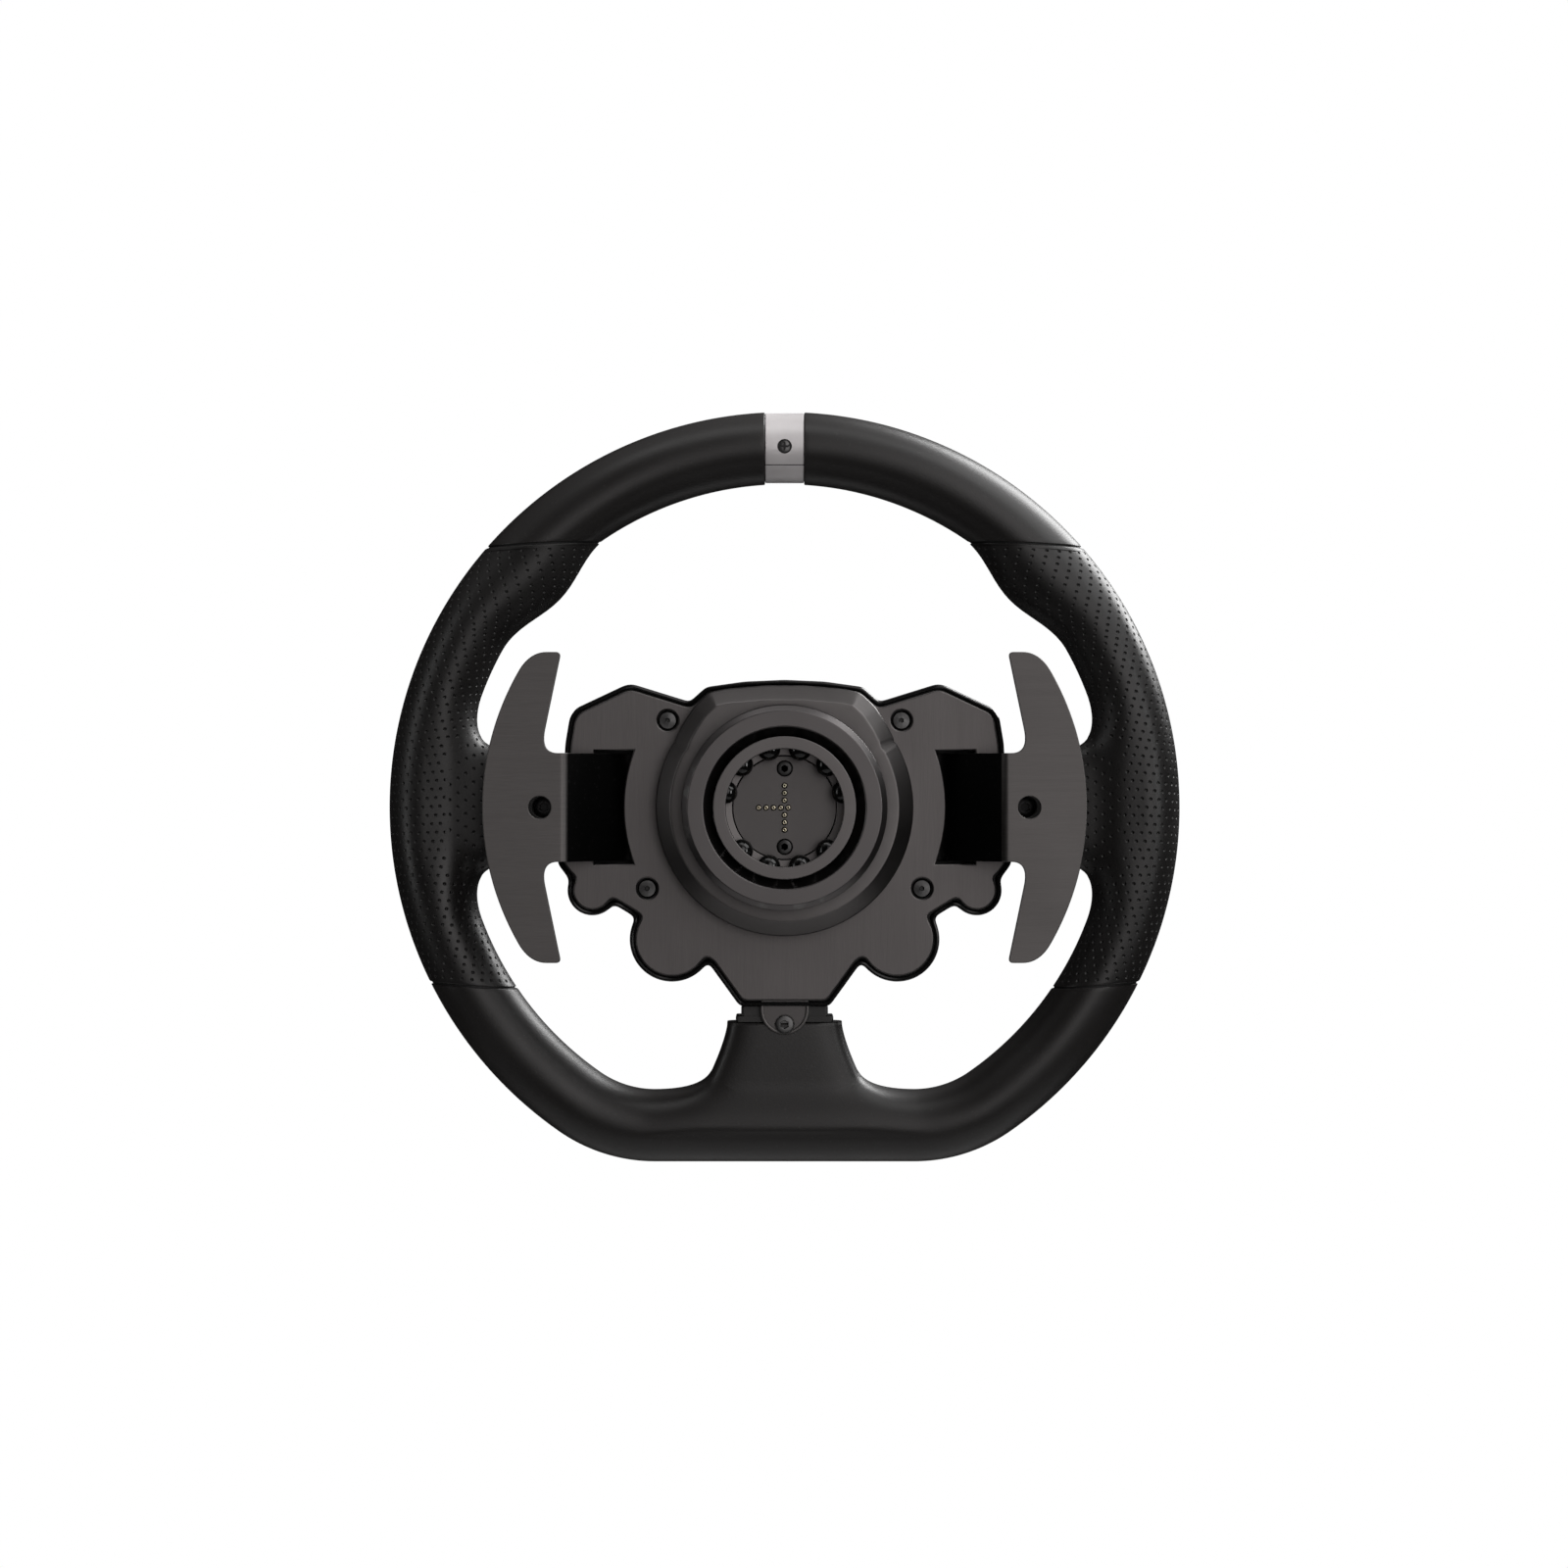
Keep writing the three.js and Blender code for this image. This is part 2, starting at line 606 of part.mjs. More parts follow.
function rearHousing() {
  const bottomHalf = BOTTOM_SPOKE_HALF + CHANNEL;
  const shell = cut(
    hubSolid(0, REAR_Y + 0.5, SPLIT_Y),
    hubSolid(LIP, REAR_Y - 1, FLOOR_REAR),
    hubSolid(WALL, FLOOR_FRONT, SPLIT_Y + 1),
  );
  const shank = SHANK_RADIUS + RUNNING;
  const shanks = CASE_SCREWS.flatMap((place) =>
    bothSides((side) => rod(shank, FLOOR_REAR - 1, FLOOR_FRONT + 1, side * place.x, place.z, 8)),
  );
  return cut(
    join(shell, ...bothSides(pivotEars)),
    rod(SPIGOT_RADIUS + GAP, REAR_Y, FLOOR_FRONT + 1, 0, 0, 32),
    ...bothSides((side) => paddleSlot(side, REAR_Y, FLOOR_FRONT + 1)),
    ...bothSides((side) =>
      pinAlong("z", PIVOT_RADIUS + PIVOT_PLAY, 2 * (SLOT_HALF + PIVOT_EAR) + 2, side * PIVOT_X, PIVOT_Y, 0),
    ),
    channel,
    block(-bottomHalf, bottomHalf, PLATE_REAR - CHANNEL, SPLIT_Y + 1, -HUB_BOTTOM - 1, WALL + 1 - HUB_BOTTOM),
    tabPlan(GAP, TAB_OPENING, TAB_FRONT + GAP),
    ...shanks,
  );
}

function screwPosts() {
  return CASE_SCREWS.flatMap((place) =>
    bothSides((side) =>
      cut(
        rod(POST_RADIUS, FLOOR_FRONT + GAP, INNER_WALL + 0.5, side * place.x, place.z, 10),
        rod(SHANK_RADIUS + RUNNING, FLOOR_FRONT - 1, SPLIT_Y + 2, side * place.x, place.z, 8),
      ),
    ),
  );
}

function stickSocket(side) {
  const tube = cut(
    rod(STICK_SOCKET + WALL, SOCKET_REAR, FRONT_Y, side * LARGE_LOBE.x, LARGE_LOBE.z, 20),
    rod(STICK_SOCKET, SOCKET_REAR - 1, FRONT_Y + 1, side * LARGE_LOBE.x, LARGE_LOBE.z, 20),
  );
  return cut(
    tube,
    pinAlong("z", TRUNNION + RUNNING, 3 * STICK_SOCKET, side * LARGE_LOBE.x, STICK_Y, LARGE_LOBE.z, 8),
  );
}

function frontHousing() {
  const holes = bothSides((side) => [
    rod(STICK_SOCKET, SPLIT_Y, FRONT_Y + 1, side * LARGE_LOBE.x, LARGE_LOBE.z, 20),
    rod(BUTTON_RADIUS + RUNNING, INNER_WALL - 1, FRONT_Y + 1, side * SMALL_LOBE.x, SMALL_LOBE.z, 16),
    rod(ENCODER.shaft + RUNNING, INNER_WALL - 1, FRONT_Y + 1, side * ENCODER.x, ENCODER.z, 12),
    ...EAR_BUTTONS.map((place) =>
      rod(BUTTON_RADIUS + RUNNING, INNER_WALL - 1, FRONT_Y + 1, side * place.x, place.z, 16),
    ),
  ]).flat();
  const bar = LIGHT_BAR;
  return cut(
    join(
      cut(
        hubSolid(0, SPLIT_Y + GAP, FRONT_Y),
        hubSolid(WALL, SPLIT_Y, INNER_WALL),
        ...holes,
        block(-bar.half - GAP, bar.half + GAP, FRONT_Y - bar.depth, FRONT_Y + 1,
          bar.z - bar.height / 2 - GAP, bar.z + bar.height / 2 + GAP),
      ),
      ...screwPosts(),
      ...bothSides(stickSocket),
    ),
    channel,
  );
}

// The tab over the bottom spoke: straight at its top, round at its foot.
function tabPlan(clearance, yFrom, yTo) {
  const radius = TAB.radius + clearance;
  const top = -HUB_BOTTOM + LIP + TAB.inset + clearance;
  return join(
    rod(radius, yFrom, yTo, 0, TAB.z, 28),
    block(-radius, radius, yFrom, yTo, TAB.z, top),
  );
}

function spokeTab() {
  return cut(
    tabPlan(0, TAB.rear, TAB_FRONT),
    hubSolid(LIP, REAR_Y - 1, FLOOR_REAR + GAP),
    rod(SHANK_RADIUS + RUNNING, TAB.rear - 1, TAB_FRONT + 1, 0, TAB.screwZ, 12),
  );
}

// The sleeve round the bottom spoke, between the casing and the fairing.
function neckCollar() {
  const rear = RIM_Y - NECK_DEPTH / 2;
  const front = RIM_Y + NECK_DEPTH / 2;
  const top = -HUB_BOTTOM - GAP;
  const foot = -FAIRING_TOP + GAP;
  return cut(
    join(
      block(-NECK_HALF, NECK_HALF, rear, front, foot, top),
      block(-NECK_STEP_HALF, NECK_STEP_HALF, rear - NECK_LEDGE, front + NECK_LEDGE, foot, foot + NECK_STEP),
    ),
    channel,
    tabPlan(GAP, TAB_OPENING, TAB_FRONT + GAP),
    rod(SHANK_RADIUS + RUNNING, TAB_FRONT, PLATE_REAR, 0, TAB.screwZ, 12),
  );
}

// ---- Quick release ----

// The flange's outline: round, with two shoulders and an arched top.
function flangeOutline() {
  const reach = FLANGE_SHOULDER.length();
  const toTangent = Math.acos(FLANGE_RADIUS / reach);
  const tangent = Math.atan2(FLANGE_SHOULDER.y, FLANGE_SHOULDER.x) - toTangent;
  const half = [];
  const steps = 10;
  for (let i = 0; i <= steps; i++) {
    const turn = THREE.MathUtils.lerp(-PI / 2, tangent, i / steps);
    half.push(at(FLANGE_RADIUS * cos(turn), FLANGE_RADIUS * sin(turn)));
  }
  half[0].x = 0;
  const arch = at(FLANGE_CORNER.x / 2, FLANGE_CROWN - FLANGE_CROWN_EASE);
  half.push(FLANGE_SHOULDER, FLANGE_CORNER, arch, at(0, FLANGE_CROWN));
  return mirrored(half);
}

function flange() {
  const outline = flangeOutline();
  const chamferY = FLANGE_REAR_Y + FLANGE_CHAMFER;
  const level = (points, y) => points.map((p) => new THREE.Vector3(p.x, y, p.y));
  const body = loft([
    level(outline, REAR_Y - FLANGE_SEAT),
    level(outline, chamferY),
    level(inset(outline, FLANGE_CHAMFER), FLANGE_REAR_Y),
  ]);
  return cut(
    join(body, rod(SPIGOT_RADIUS, REAR_Y - 1, FLOOR_FRONT, 0, 0, 32)),
    rod(CHAMBER_RADIUS, FLANGE_REAR_Y - 1, CHAMBER_FLOOR_Y, 0, 0, 32),
    rod(SLEEVE_RADIUS + RUNNING, FLANGE_REAR_Y, FLOOR_FRONT + 1, 0, 0, 32),
  );
}

function sleeve() {
  const top = PLATE_REAR - GAP;
  const seat = CONTACT_Y + CONTACT_THICKNESS;
  const body = turned([
    [SLEEVE_BORE, 0],
    [SLEEVE_RADIUS, 0],
    [SLEEVE_RADIUS, FLOOR_FRONT + GAP],
    [SLEEVE_FLANGE_RADIUS, FLOOR_FRONT + GAP],
    [SLEEVE_FLANGE_RADIUS, top],
    [CONTACT_SHOULDER, top],
    [CONTACT_SHOULDER, seat + GAP],
    [CONTACT_RADIUS + RUNNING, seat + GAP],
    [CONTACT_RADIUS + RUNNING, SOCKET_DEPTH + 1],
    [SLEEVE_BORE, SOCKET_DEPTH],
  ]);
  const ballHole = BALL_RADIUS + RUNNING;
  const holes = BALL_CLOCKS.map((clock) => {
    const bar = new THREE.CylinderGeometry(ballHole, ballHole, SLEEVE_RADIUS, 10);
    bar.translate(0, SLEEVE_RADIUS, 0).rotateX(PI / 2).translate(0, BALL_Y, 0);
    return solid(bar.rotateY(rad(clock)));
  });
  const threadEnd = seat + CONTACT_SCREW_REACH + 2;
  const threads = contactScrewPlaces((z) => rod(SHANK_RADIUS + RUNNING, seat, threadEnd, 0, z, 12));
  return cut(body, ...holes, ...threads);
}

const contactScrewPlaces = (make) => [CONTACT_SCREW_Z, -CONTACT_SCREW_Z].map(make);

// The release collar: a cone that holds the balls in, a land, a spring shoulder and a skirt.
function collar() {
  const slope = BALL_TRAVEL / COLLAR_TRAVEL;
  const lean = sqrt(1 + slope ** 2);
  const atBall = BALL_SEAT + (BALL_RADIUS + RUNNING) * lean;
  const coneEndY = BALL_Y - (COLLAR_MOUTH - atBall) / slope;
  const mouthY = Math.max(COLLAR_REAR_Y + 2 * COLLAR_EDGE, coneEndY);
  const landY = BALL_Y + (atBall - COLLAR_LAND) / slope;
  const frontY = COLLAR_REAR_Y + COLLAR_LENGTH;
  return turned([
    [COLLAR_MOUTH, COLLAR_REAR_Y + COLLAR_EDGE],
    [COLLAR_MOUTH + COLLAR_LIP, COLLAR_REAR_Y],
    [COLLAR_RADIUS - COLLAR_CHAMFER, COLLAR_REAR_Y],
    [COLLAR_RADIUS, COLLAR_REAR_Y + COLLAR_CHAMFER],
    [COLLAR_RADIUS - COLLAR_WAIST, COLLAR_REAR_Y + COLLAR_LENGTH / 2],
    [COLLAR_RADIUS, frontY - COLLAR_RIM],
    [COLLAR_RADIUS, frontY],
    [SKIRT_RADIUS, frontY],
    [SKIRT_RADIUS, frontY + SKIRT_LENGTH],
    [SKIRT_RADIUS - SKIRT_WALL, frontY + SKIRT_LENGTH],
    [SKIRT_RADIUS - SKIRT_WALL, SHOULDER_Y],
    [COLLAR_LAND, SHOULDER_Y],
    [COLLAR_LAND, landY],
    [COLLAR_MOUTH, mouthY],
  ]);
}

class Helix extends THREE.Curve {
  constructor(radius, yFrom, yTo, turns) {
    super();
    Object.assign(this, { radius, yFrom, yTo, turns });
  }
  getPoint(t, target = new THREE.Vector3()) {
    const turn = 2 * PI * this.turns * t;
    const y = THREE.MathUtils.lerp(this.yFrom, this.yTo, t);
    return target.set(this.radius * cos(turn), y, this.radius * sin(turn));
  }
}

function collarSpring() {
  const outer = SKIRT_RADIUS - SKIRT_WALL;
  const radius = (outer + SLEEVE_RADIUS) / 2;
  const wire = new THREE.Shape().absarc(0, 0, SPRING_WIRE, 0, 2 * PI, false);
  const margin = SPRING_WIRE + GAP;
  const path = new Helix(radius, SHOULDER_Y + margin, CHAMBER_FLOOR_Y - margin, SPRING_TURNS);
  const steps = Math.round(10 * SPRING_TURNS);
  return new THREE.ExtrudeGeometry(wire, { steps, extrudePath: path, curveSegments: 3 });
}

function ball() {
  return new THREE.SphereGeometry(BALL_RADIUS, 8, 6);
}

function contactPlate() {
  const front = CONTACT_Y + CONTACT_THICKNESS;
  const recessEnd = CONTACT_Y + CONTACT_RECESS;
  const plate = turned([
    [0, CONTACT_Y],
    [CONTACT_RADIUS - CONTACT_EDGE, CONTACT_Y],
    [CONTACT_RADIUS, CONTACT_Y + CONTACT_EDGE],
    [CONTACT_RADIUS, front],
    [0, front],
  ]);
  const half = 0.5 * PIN_PITCH;
  const from = PINS_ACROSS[0] * PIN_PITCH - half;
  const to = PINS_ACROSS[PINS_ACROSS.length - 1] * PIN_PITCH + half;
  const rise = PINS_UPRIGHT[PINS_UPRIGHT.length - 1] * PIN_PITCH + half;
  return cut(
    plate,
    block(from, to, CONTACT_Y - 1, front + 1, -half, half),
    block(-half, half, CONTACT_Y - 1, front + 1, -rise, rise),
    ...contactScrewPlaces((z) => rod(CONTACT_RECESS_RADIUS, CONTACT_Y - 1, recessEnd, 0, z, 16)),
    ...contactScrewPlaces((z) => rod(SHANK_RADIUS + RUNNING, CONTACT_Y, front + 1, 0, z, 12)),
  );
}

// Eleven spring pins in a cross-shaped carrier that fills the plate's cross-shaped opening.
function contactPins() {
  const half = 0.5 * PIN_PITCH - GAP;
  const from = PINS_ACROSS[0] * PIN_PITCH - half;
  const to = PINS_ACROSS[PINS_ACROSS.length - 1] * PIN_PITCH + half;
  const rise = PINS_UPRIGHT[PINS_UPRIGHT.length - 1] * PIN_PITCH + half;
  const rear = CONTACT_Y + PIN_CARRIER_SET;
  const front = CONTACT_Y + CONTACT_THICKNESS + 2 * PIN_TRAVEL;
  const pin = (x, z) => rod(PIN_RADIUS, CONTACT_Y - PIN_PROUD, front, x * PIN_PITCH, z * PIN_PITCH, 8);
  return join(
    block(from, to, rear, front, -half, half),
    block(-half, half, rear, front, -rise, rise),
    ...PINS_ACROSS.map((x) => pin(x, 0)),
    ...PINS_UPRIGHT.map((z) => pin(0, z)),
  );
}

// ---- Paddles ----

// A paddle's blade: an arc outside, two horns and a straight root.
function bladeShape() {
  const centre = BLADE_REACH - BLADE_ARC;
  const lean = Math.asin(BLADE_TIP / BLADE_ARC);
  const shape = new THREE.Shape();
  const pullX = BLADE_WAIST + BLADE_FILLET_PULL.x;
  const pullZ = PADDLE_ROOT_HALF + BLADE_FILLET_PULL.y;
  shape.moveTo(BEND_X, -PADDLE_ROOT_HALF);
  shape.lineTo(BLADE_WAIST - BLADE_FILLET, -PADDLE_ROOT_HALF);
  shape.quadraticCurveTo(pullX, -pullZ, BLADE_WAIST, -BLADE_WAIST_Z);
  shape.lineTo(BLADE_TIP_INNER, -BLADE_TIP);
  shape.absarc(centre, 0, BLADE_ARC, BLADE_TIP_EASE - lean, lean - BLADE_TIP_EASE, false);
  shape.lineTo(centre + BLADE_ARC * cos(lean) - BLADE_CORNER, BLADE_TIP);
  shape.lineTo(BLADE_TIP_INNER, BLADE_TIP);
  shape.lineTo(BLADE_WAIST, BLADE_WAIST_Z);
  shape.quadraticCurveTo(pullX, pullZ, BLADE_WAIST - BLADE_FILLET, PADDLE_ROOT_HALF);
  shape.lineTo(BEND_X, PADDLE_ROOT_HALF);
  return shape;
}

// The bent root's profile in X and Y, made wide along Z.
function paddleRoot() {
  const rise = PIVOT_Y - SHEET / 2;
  const run = at(BEND_X - FOOT_X, rise - BLADE_Y).normalize();
  const thick = SHEET / run.x;
  const knee = (thick - SHEET) * (run.x / run.y);
  const shape = new THREE.Shape([
    at(BEND_X + 1, BLADE_Y),
    at(BEND_X + 1, BLADE_Y + SHEET),
    at(BEND_X + knee, BLADE_Y + SHEET),
    at(FOOT_X + knee, rise + SHEET),
    at(PIVOT_X, rise + SHEET),
    at(PIVOT_X, rise),
    at(FOOT_X, rise),
    at(BEND_X, BLADE_Y),
  ]);
  const width = 2 * PADDLE_ROOT_HALF;
  const root = new THREE.ExtrudeGeometry(shape, { depth: width, bevelEnabled: false });
  return solid(root.translate(0, 0, -width / 2));
}

function paddle() {
  return cut(
    join(
      slab(bladeShape(), BLADE_Y, BLADE_Y + SHEET, 8),
      paddleRoot(),
      pinAlong("z", BARREL_RADIUS, 2 * PADDLE_ROOT_HALF, PIVOT_X, PIVOT_Y, 0, 16),
    ),
    pinAlong("z", PIVOT_RADIUS + PIVOT_PLAY, 3 * PADDLE_ROOT_HALF, PIVOT_X, PIVOT_Y, 0),
    rod(PADDLE_HOLE_RADIUS, BLADE_Y - 1, BLADE_Y + SHEET + 1, PADDLE_HOLE_X, 0, 20),
  );
}

function pivotPin() {
  return pinAlong("z", PIVOT_RADIUS, 2 * (SLOT_HALF + PIVOT_EAR), PIVOT_X, PIVOT_Y, 0);
}

// The small switch that a paddle's foot presses, with its plunger towards the foot.
function paddleSwitch() {
  const { x, half, rear, front, height } = SWITCH;
  const z = SIDE_SPOKE_HALF + CHANNEL + SWITCH.offset;
  return join(
    block(x - half, x + half, rear, front, z, z + height),
    block(x - PLUNGER.half, x + PLUNGER.half, PLUNGER.rear, rear + 0.5, z + PLUNGER.low, z + PLUNGER.high),
  );
}

// ---- Driver side ----

function button(x, z) {
  return turned([
    [0, INNER_WALL - CONTROL_FOOT],
    [BUTTON_RADIUS + BUTTON_FLANGE, INNER_WALL - CONTROL_FOOT],
    [BUTTON_RADIUS + BUTTON_FLANGE, INNER_WALL - GAP],
    [BUTTON_RADIUS, INNER_WALL - GAP],
    [BUTTON_RADIUS, FRONT_Y + BUTTON_PROUD - BUTTON_EDGE],
    [BUTTON_RADIUS - BUTTON_EDGE, FRONT_Y + BUTTON_PROUD],
    [0, FRONT_Y + BUTTON_PROUD],
  ], 16, x, z);
}

function encoder() {
  const { x, z, radius, height, shaft, foot, edge } = ENCODER;
  return turned([
    [0, INNER_WALL - CONTROL_FOOT],
    [foot, INNER_WALL - CONTROL_FOOT],
    [foot, INNER_WALL - GAP],
    [shaft, INNER_WALL - GAP],
    [shaft, FRONT_Y + GAP],
    [radius, FRONT_Y + GAP],
    [radius, FRONT_Y + height - edge],
    [radius - edge, FRONT_Y + height],
    [0, FRONT_Y + height],
  ], 20, x, z);
}

function gimbal() {
  const { x, z } = LARGE_LOBE;
  return cut(
    join(
      cut(
        rod(GIMBAL_RADIUS, STICK_Y - GIMBAL_HALF, STICK_Y + GIMBAL_HALF, x, z, 18),
        rod(GIMBAL_BORE, STICK_Y - 3, STICK_Y + 3, x, z, 16),
      ),
      cut(
        pinAlong("z", TRUNNION, 2 * (STICK_SOCKET + GIMBAL_HALF), x, STICK_Y, z, 8),
        rod(GIMBAL_BORE, STICK_Y - 3, STICK_Y + 3, x, z, 16),
      ),
    ),
    pinAlong("x", TRUNNION + RUNNING, 3 * GIMBAL_RADIUS, x, STICK_Y, z, 8),
  );
}

function thumbstick() {
  const { x, z } = LARGE_LOBE;
  const cap = STICK_CAP;
  const capY = FRONT_Y + cap.rise;
  return join(
    turned([
      [0, STICK_Y - STICK_BALL],
      [STICK_NECK, STICK_Y - STICK_NECK],
      [STICK_BALL, STICK_Y],
      [STICK_NECK, STICK_Y + STICK_NECK],
      [STICK_SHAFT, capY],
      [cap.radius - cap.lip, capY],
      [cap.radius, capY + cap.lip],
      [cap.radius, capY + cap.rim],
      [cap.radius - 1, capY + cap.height],
      [0, capY + cap.dish],
    ], 18, x, z),
    pinAlong("x", TRUNNION, 2 * (GIMBAL_RADIUS - 0.5), x, STICK_Y, z, 8),
  );
}

function centreCap() {
  return turned([
    [0, FRONT_Y + GAP],
    [CAP_RADIUS, FRONT_Y + GAP],
    [CAP_RADIUS, FRONT_Y + CAP_HEIGHT - CAP_EDGE],
    [CAP_RADIUS - CAP_EDGE, FRONT_Y + CAP_HEIGHT],
    [0, FRONT_Y + CAP_HEIGHT],
  ]);
}

function lightBar() {
  const { half, z, height, depth, proud } = LIGHT_BAR;
  return block(-half, half, FRONT_Y - depth + GAP, FRONT_Y + proud, z - height / 2, z + height / 2);
}

function mainBoard() {
  const { half, low, high, y, thickness } = BOARD;
  return block(-half, half, y, y + thickness, low, high);
}

// ---- Assembly ----

const FINISH = {
  leather: [0x1d1b1b, 0.55, 0],
  polyurethane: [0x1a1919, 0.45, 0],
  silver: [0xa8a6a8, 0.4, 0.6],
  graphite: [0x4a4748, 0.42, 0.8],
  anodised: [0x3d3a3b, 0.4, 0.8],
  black: [0x0d0d0d, 0.3, 0],
  steel: [0xb9b9bb, 0.15, 1],
  gold: [0xd9c184, 0.25, 1],
  dark: [0x111112, 0.5, 0.4],
  cast: [0x7d7d80, 0.55, 0.9],
  board: [0x123a1e, 0.6, 0],
  smoke: [0x1b1b22, 0.1, 0],
};

const wheel = new THREE.Group();

function add(name, shape, finish, side = 1) {
  const geometry = shape instanceof THREE.BufferGeometry ? shape : geometryOf(shape);
  const [color, roughness, metalness] = FINISH[finish];
  const mesh = new THREE.Mesh(geometry, new THREE.MeshStandardMaterial({ color, roughness, metalness }));
  mesh.name = name;
  mesh.scale.x = side;
  wheel.add(mesh);
  return mesh;
}

// The same piece on the right and, mirrored, on the left.
function addPair(name, shape, finish) {
  add(name + "_right", shape, finish);
  add(name + "_left", shape, finish, -1);
}

add("rim_plate", rimPlate(), "cast");
addPair("top_grip", topGrip(), "polyurethane");
addPair("handle", handle(), "leather");
add("bottom_grip", bottomGrip(), "polyurethane");
add("marker_outer", markerHalf(true), "silver");
add("marker_inner", markerHalf(false), "silver");
add(
  "marker_screw",
  screw(SMALL_HEAD_RADIUS, MARKER_HEAD_Y, SMALL_HEAD, PLATE_FRONT - 2, 0, MARKER_SCREW_RADIUS, SMALL_SOCKET),
  "dark",
);

add("rear_plate", rearPlate(), "graphite");
add("rear_housing", rearHousing(), "black");
add("front_housing", frontHousing(), "black");
add("spoke_tab", spokeTab(), "black");
const tabHeadY = TAB.rear - SMALL_HEAD - GAP;
add("tab_screw", screw(TAB.head, tabHeadY, SMALL_HEAD, PLATE_REAR - 1, 0, TAB.screwZ, TAB_SOCKET), "dark");
add("neck_collar", neckCollar(), "black");
for (const place of CASE_SCREWS) {
  const headY = FLOOR_REAR - CASE_HEAD - GAP;
  const head = screw(RECESS_RADIUS - RUNNING, headY, CASE_HEAD, SPLIT_Y, place.x, place.z, CASE_SOCKET);
  addPair("case_screw_" + place.side, head, "dark");
}
const spokeHeadY = PLATE_REAR - SPOKE_HEAD - GAP;
addPair(
  "spoke_screw",
  screw(SPOKE_HEAD_RADIUS, spokeHeadY, SPOKE_HEAD, PLATE_FRONT, PADDLE_HOLE_X, 0, SPOKE_SOCKET),
  "dark",
);

add("qr_flange", flange(), "anodised");
add("qr_sleeve", sleeve(), "anodised");
add("qr_collar", collar(), "anodised");
add("collar_spring", collarSpring(), "steel");
add("contact_plate", contactPlate(), "graphite");
add("contact_pins", contactPins(), "gold");
contactScrewPlaces((z) => {
  const headY = CONTACT_Y + CONTACT_RECESS - CONTACT_HEAD - GAP;
  const tipY = CONTACT_Y + CONTACT_THICKNESS + CONTACT_SCREW_REACH;
  const head = screw(CONTACT_HEAD_RADIUS, headY, CONTACT_HEAD, tipY, 0, z, CONTACT_SOCKET);
  add("contact_screw_" + (z > 0 ? "upper" : "lower"), head, "dark");
});
BALL_CLOCKS.forEach((clock, i) => {
  const place = clockPoint(clock, BALL_SEAT);
  add("lock_ball_" + String(i + 1).padStart(2, "0"), ball(), "steel").position.set(place.x, BALL_Y, place.y);
});

addPair("paddle", paddle(), "graphite");
addPair("paddle_pivot", pivotPin(), "steel");
addPair("paddle_switch", paddleSwitch(), "black");

addPair("thumbstick", thumbstick(), "black");
addPair("stick_gimbal", gimbal(), "dark");
addPair("lobe_button", button(SMALL_LOBE.x, SMALL_LOBE.z), "black");
for (const place of EAR_BUTTONS) addPair("ear_button_" + place.place, button(place.x, place.z), "black");
addPair("encoder", encoder(), "dark");
add("centre_cap", centreCap(), "anodised");
add("light_bar", lightBar(), "smoke");
add("main_board", mainBoard(), "board");

export default wheel;
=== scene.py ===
"""A D-shaped racing wheel seen from the wheel base's side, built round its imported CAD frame.

Sizes in this file are in millimetres until a mesh is made. +Z is 12 o'clock and +Y is towards
the driver, so the camera looks along +Y at the quick release.
"""

import math

import bmesh
import bpy
import numpy as np
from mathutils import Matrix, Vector


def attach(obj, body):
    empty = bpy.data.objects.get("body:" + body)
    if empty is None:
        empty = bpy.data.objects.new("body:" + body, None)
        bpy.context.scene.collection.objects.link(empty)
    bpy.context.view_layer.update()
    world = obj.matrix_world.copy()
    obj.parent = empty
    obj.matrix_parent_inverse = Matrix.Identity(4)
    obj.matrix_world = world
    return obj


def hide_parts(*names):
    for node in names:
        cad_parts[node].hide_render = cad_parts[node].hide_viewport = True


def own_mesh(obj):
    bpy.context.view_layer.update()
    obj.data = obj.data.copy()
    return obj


MM = 0.001
TURN = 2 * math.pi

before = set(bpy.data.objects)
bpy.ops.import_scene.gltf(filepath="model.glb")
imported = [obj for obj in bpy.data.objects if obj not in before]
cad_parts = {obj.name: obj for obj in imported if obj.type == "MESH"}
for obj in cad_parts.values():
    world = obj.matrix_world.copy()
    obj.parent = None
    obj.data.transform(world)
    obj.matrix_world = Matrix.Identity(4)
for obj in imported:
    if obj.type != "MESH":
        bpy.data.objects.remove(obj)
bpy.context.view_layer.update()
WHEEL = "wheel_body"

# Rim
RIM_RADIUS = 140
RIM_WIDTH = 25.6
RIM_DEPTH = 29
RIM_Y = 58
RIM_INNER = RIM_RADIUS - RIM_WIDTH
RIM_CENTRE = RIM_RADIUS - RIM_WIDTH / 2
FLAT_CENTRE = 112.8
CORNER_X = 45.9
CORNER_Z = -65.9
CORNER_CENTRE = 46.9
CORNER_CLOCK = 145.1
UPPER_JOINT = (34.9, 49.0)
LOWER_JOINT = (124.0, 116.3)
GROOVE = 0.8
THUMB_CLOCK = 47.0
THUMB_SPAN = 14.0
THUMB_REACH = 6.0

# Marker band
MARKER_HALF = 6.8
MARKER_GAP = 0.12
MARKER_LOW = RIM_INNER + 0.45
MARKER_HIGH = RIM_RADIUS - 0.45
MARKER_SPLIT = RIM_INNER + 6.1
MARKER_SEAM = 0.15
MARKER_HALF_DEPTH = RIM_DEPTH / 2 - 0.5
MARKER_EDGE = 0.2
MARKER_CORE_INSET = 0.5
MARKER_CORE_REACH = 0.25
MARKER_SCREW_Z = RIM_RADIUS - 13.1

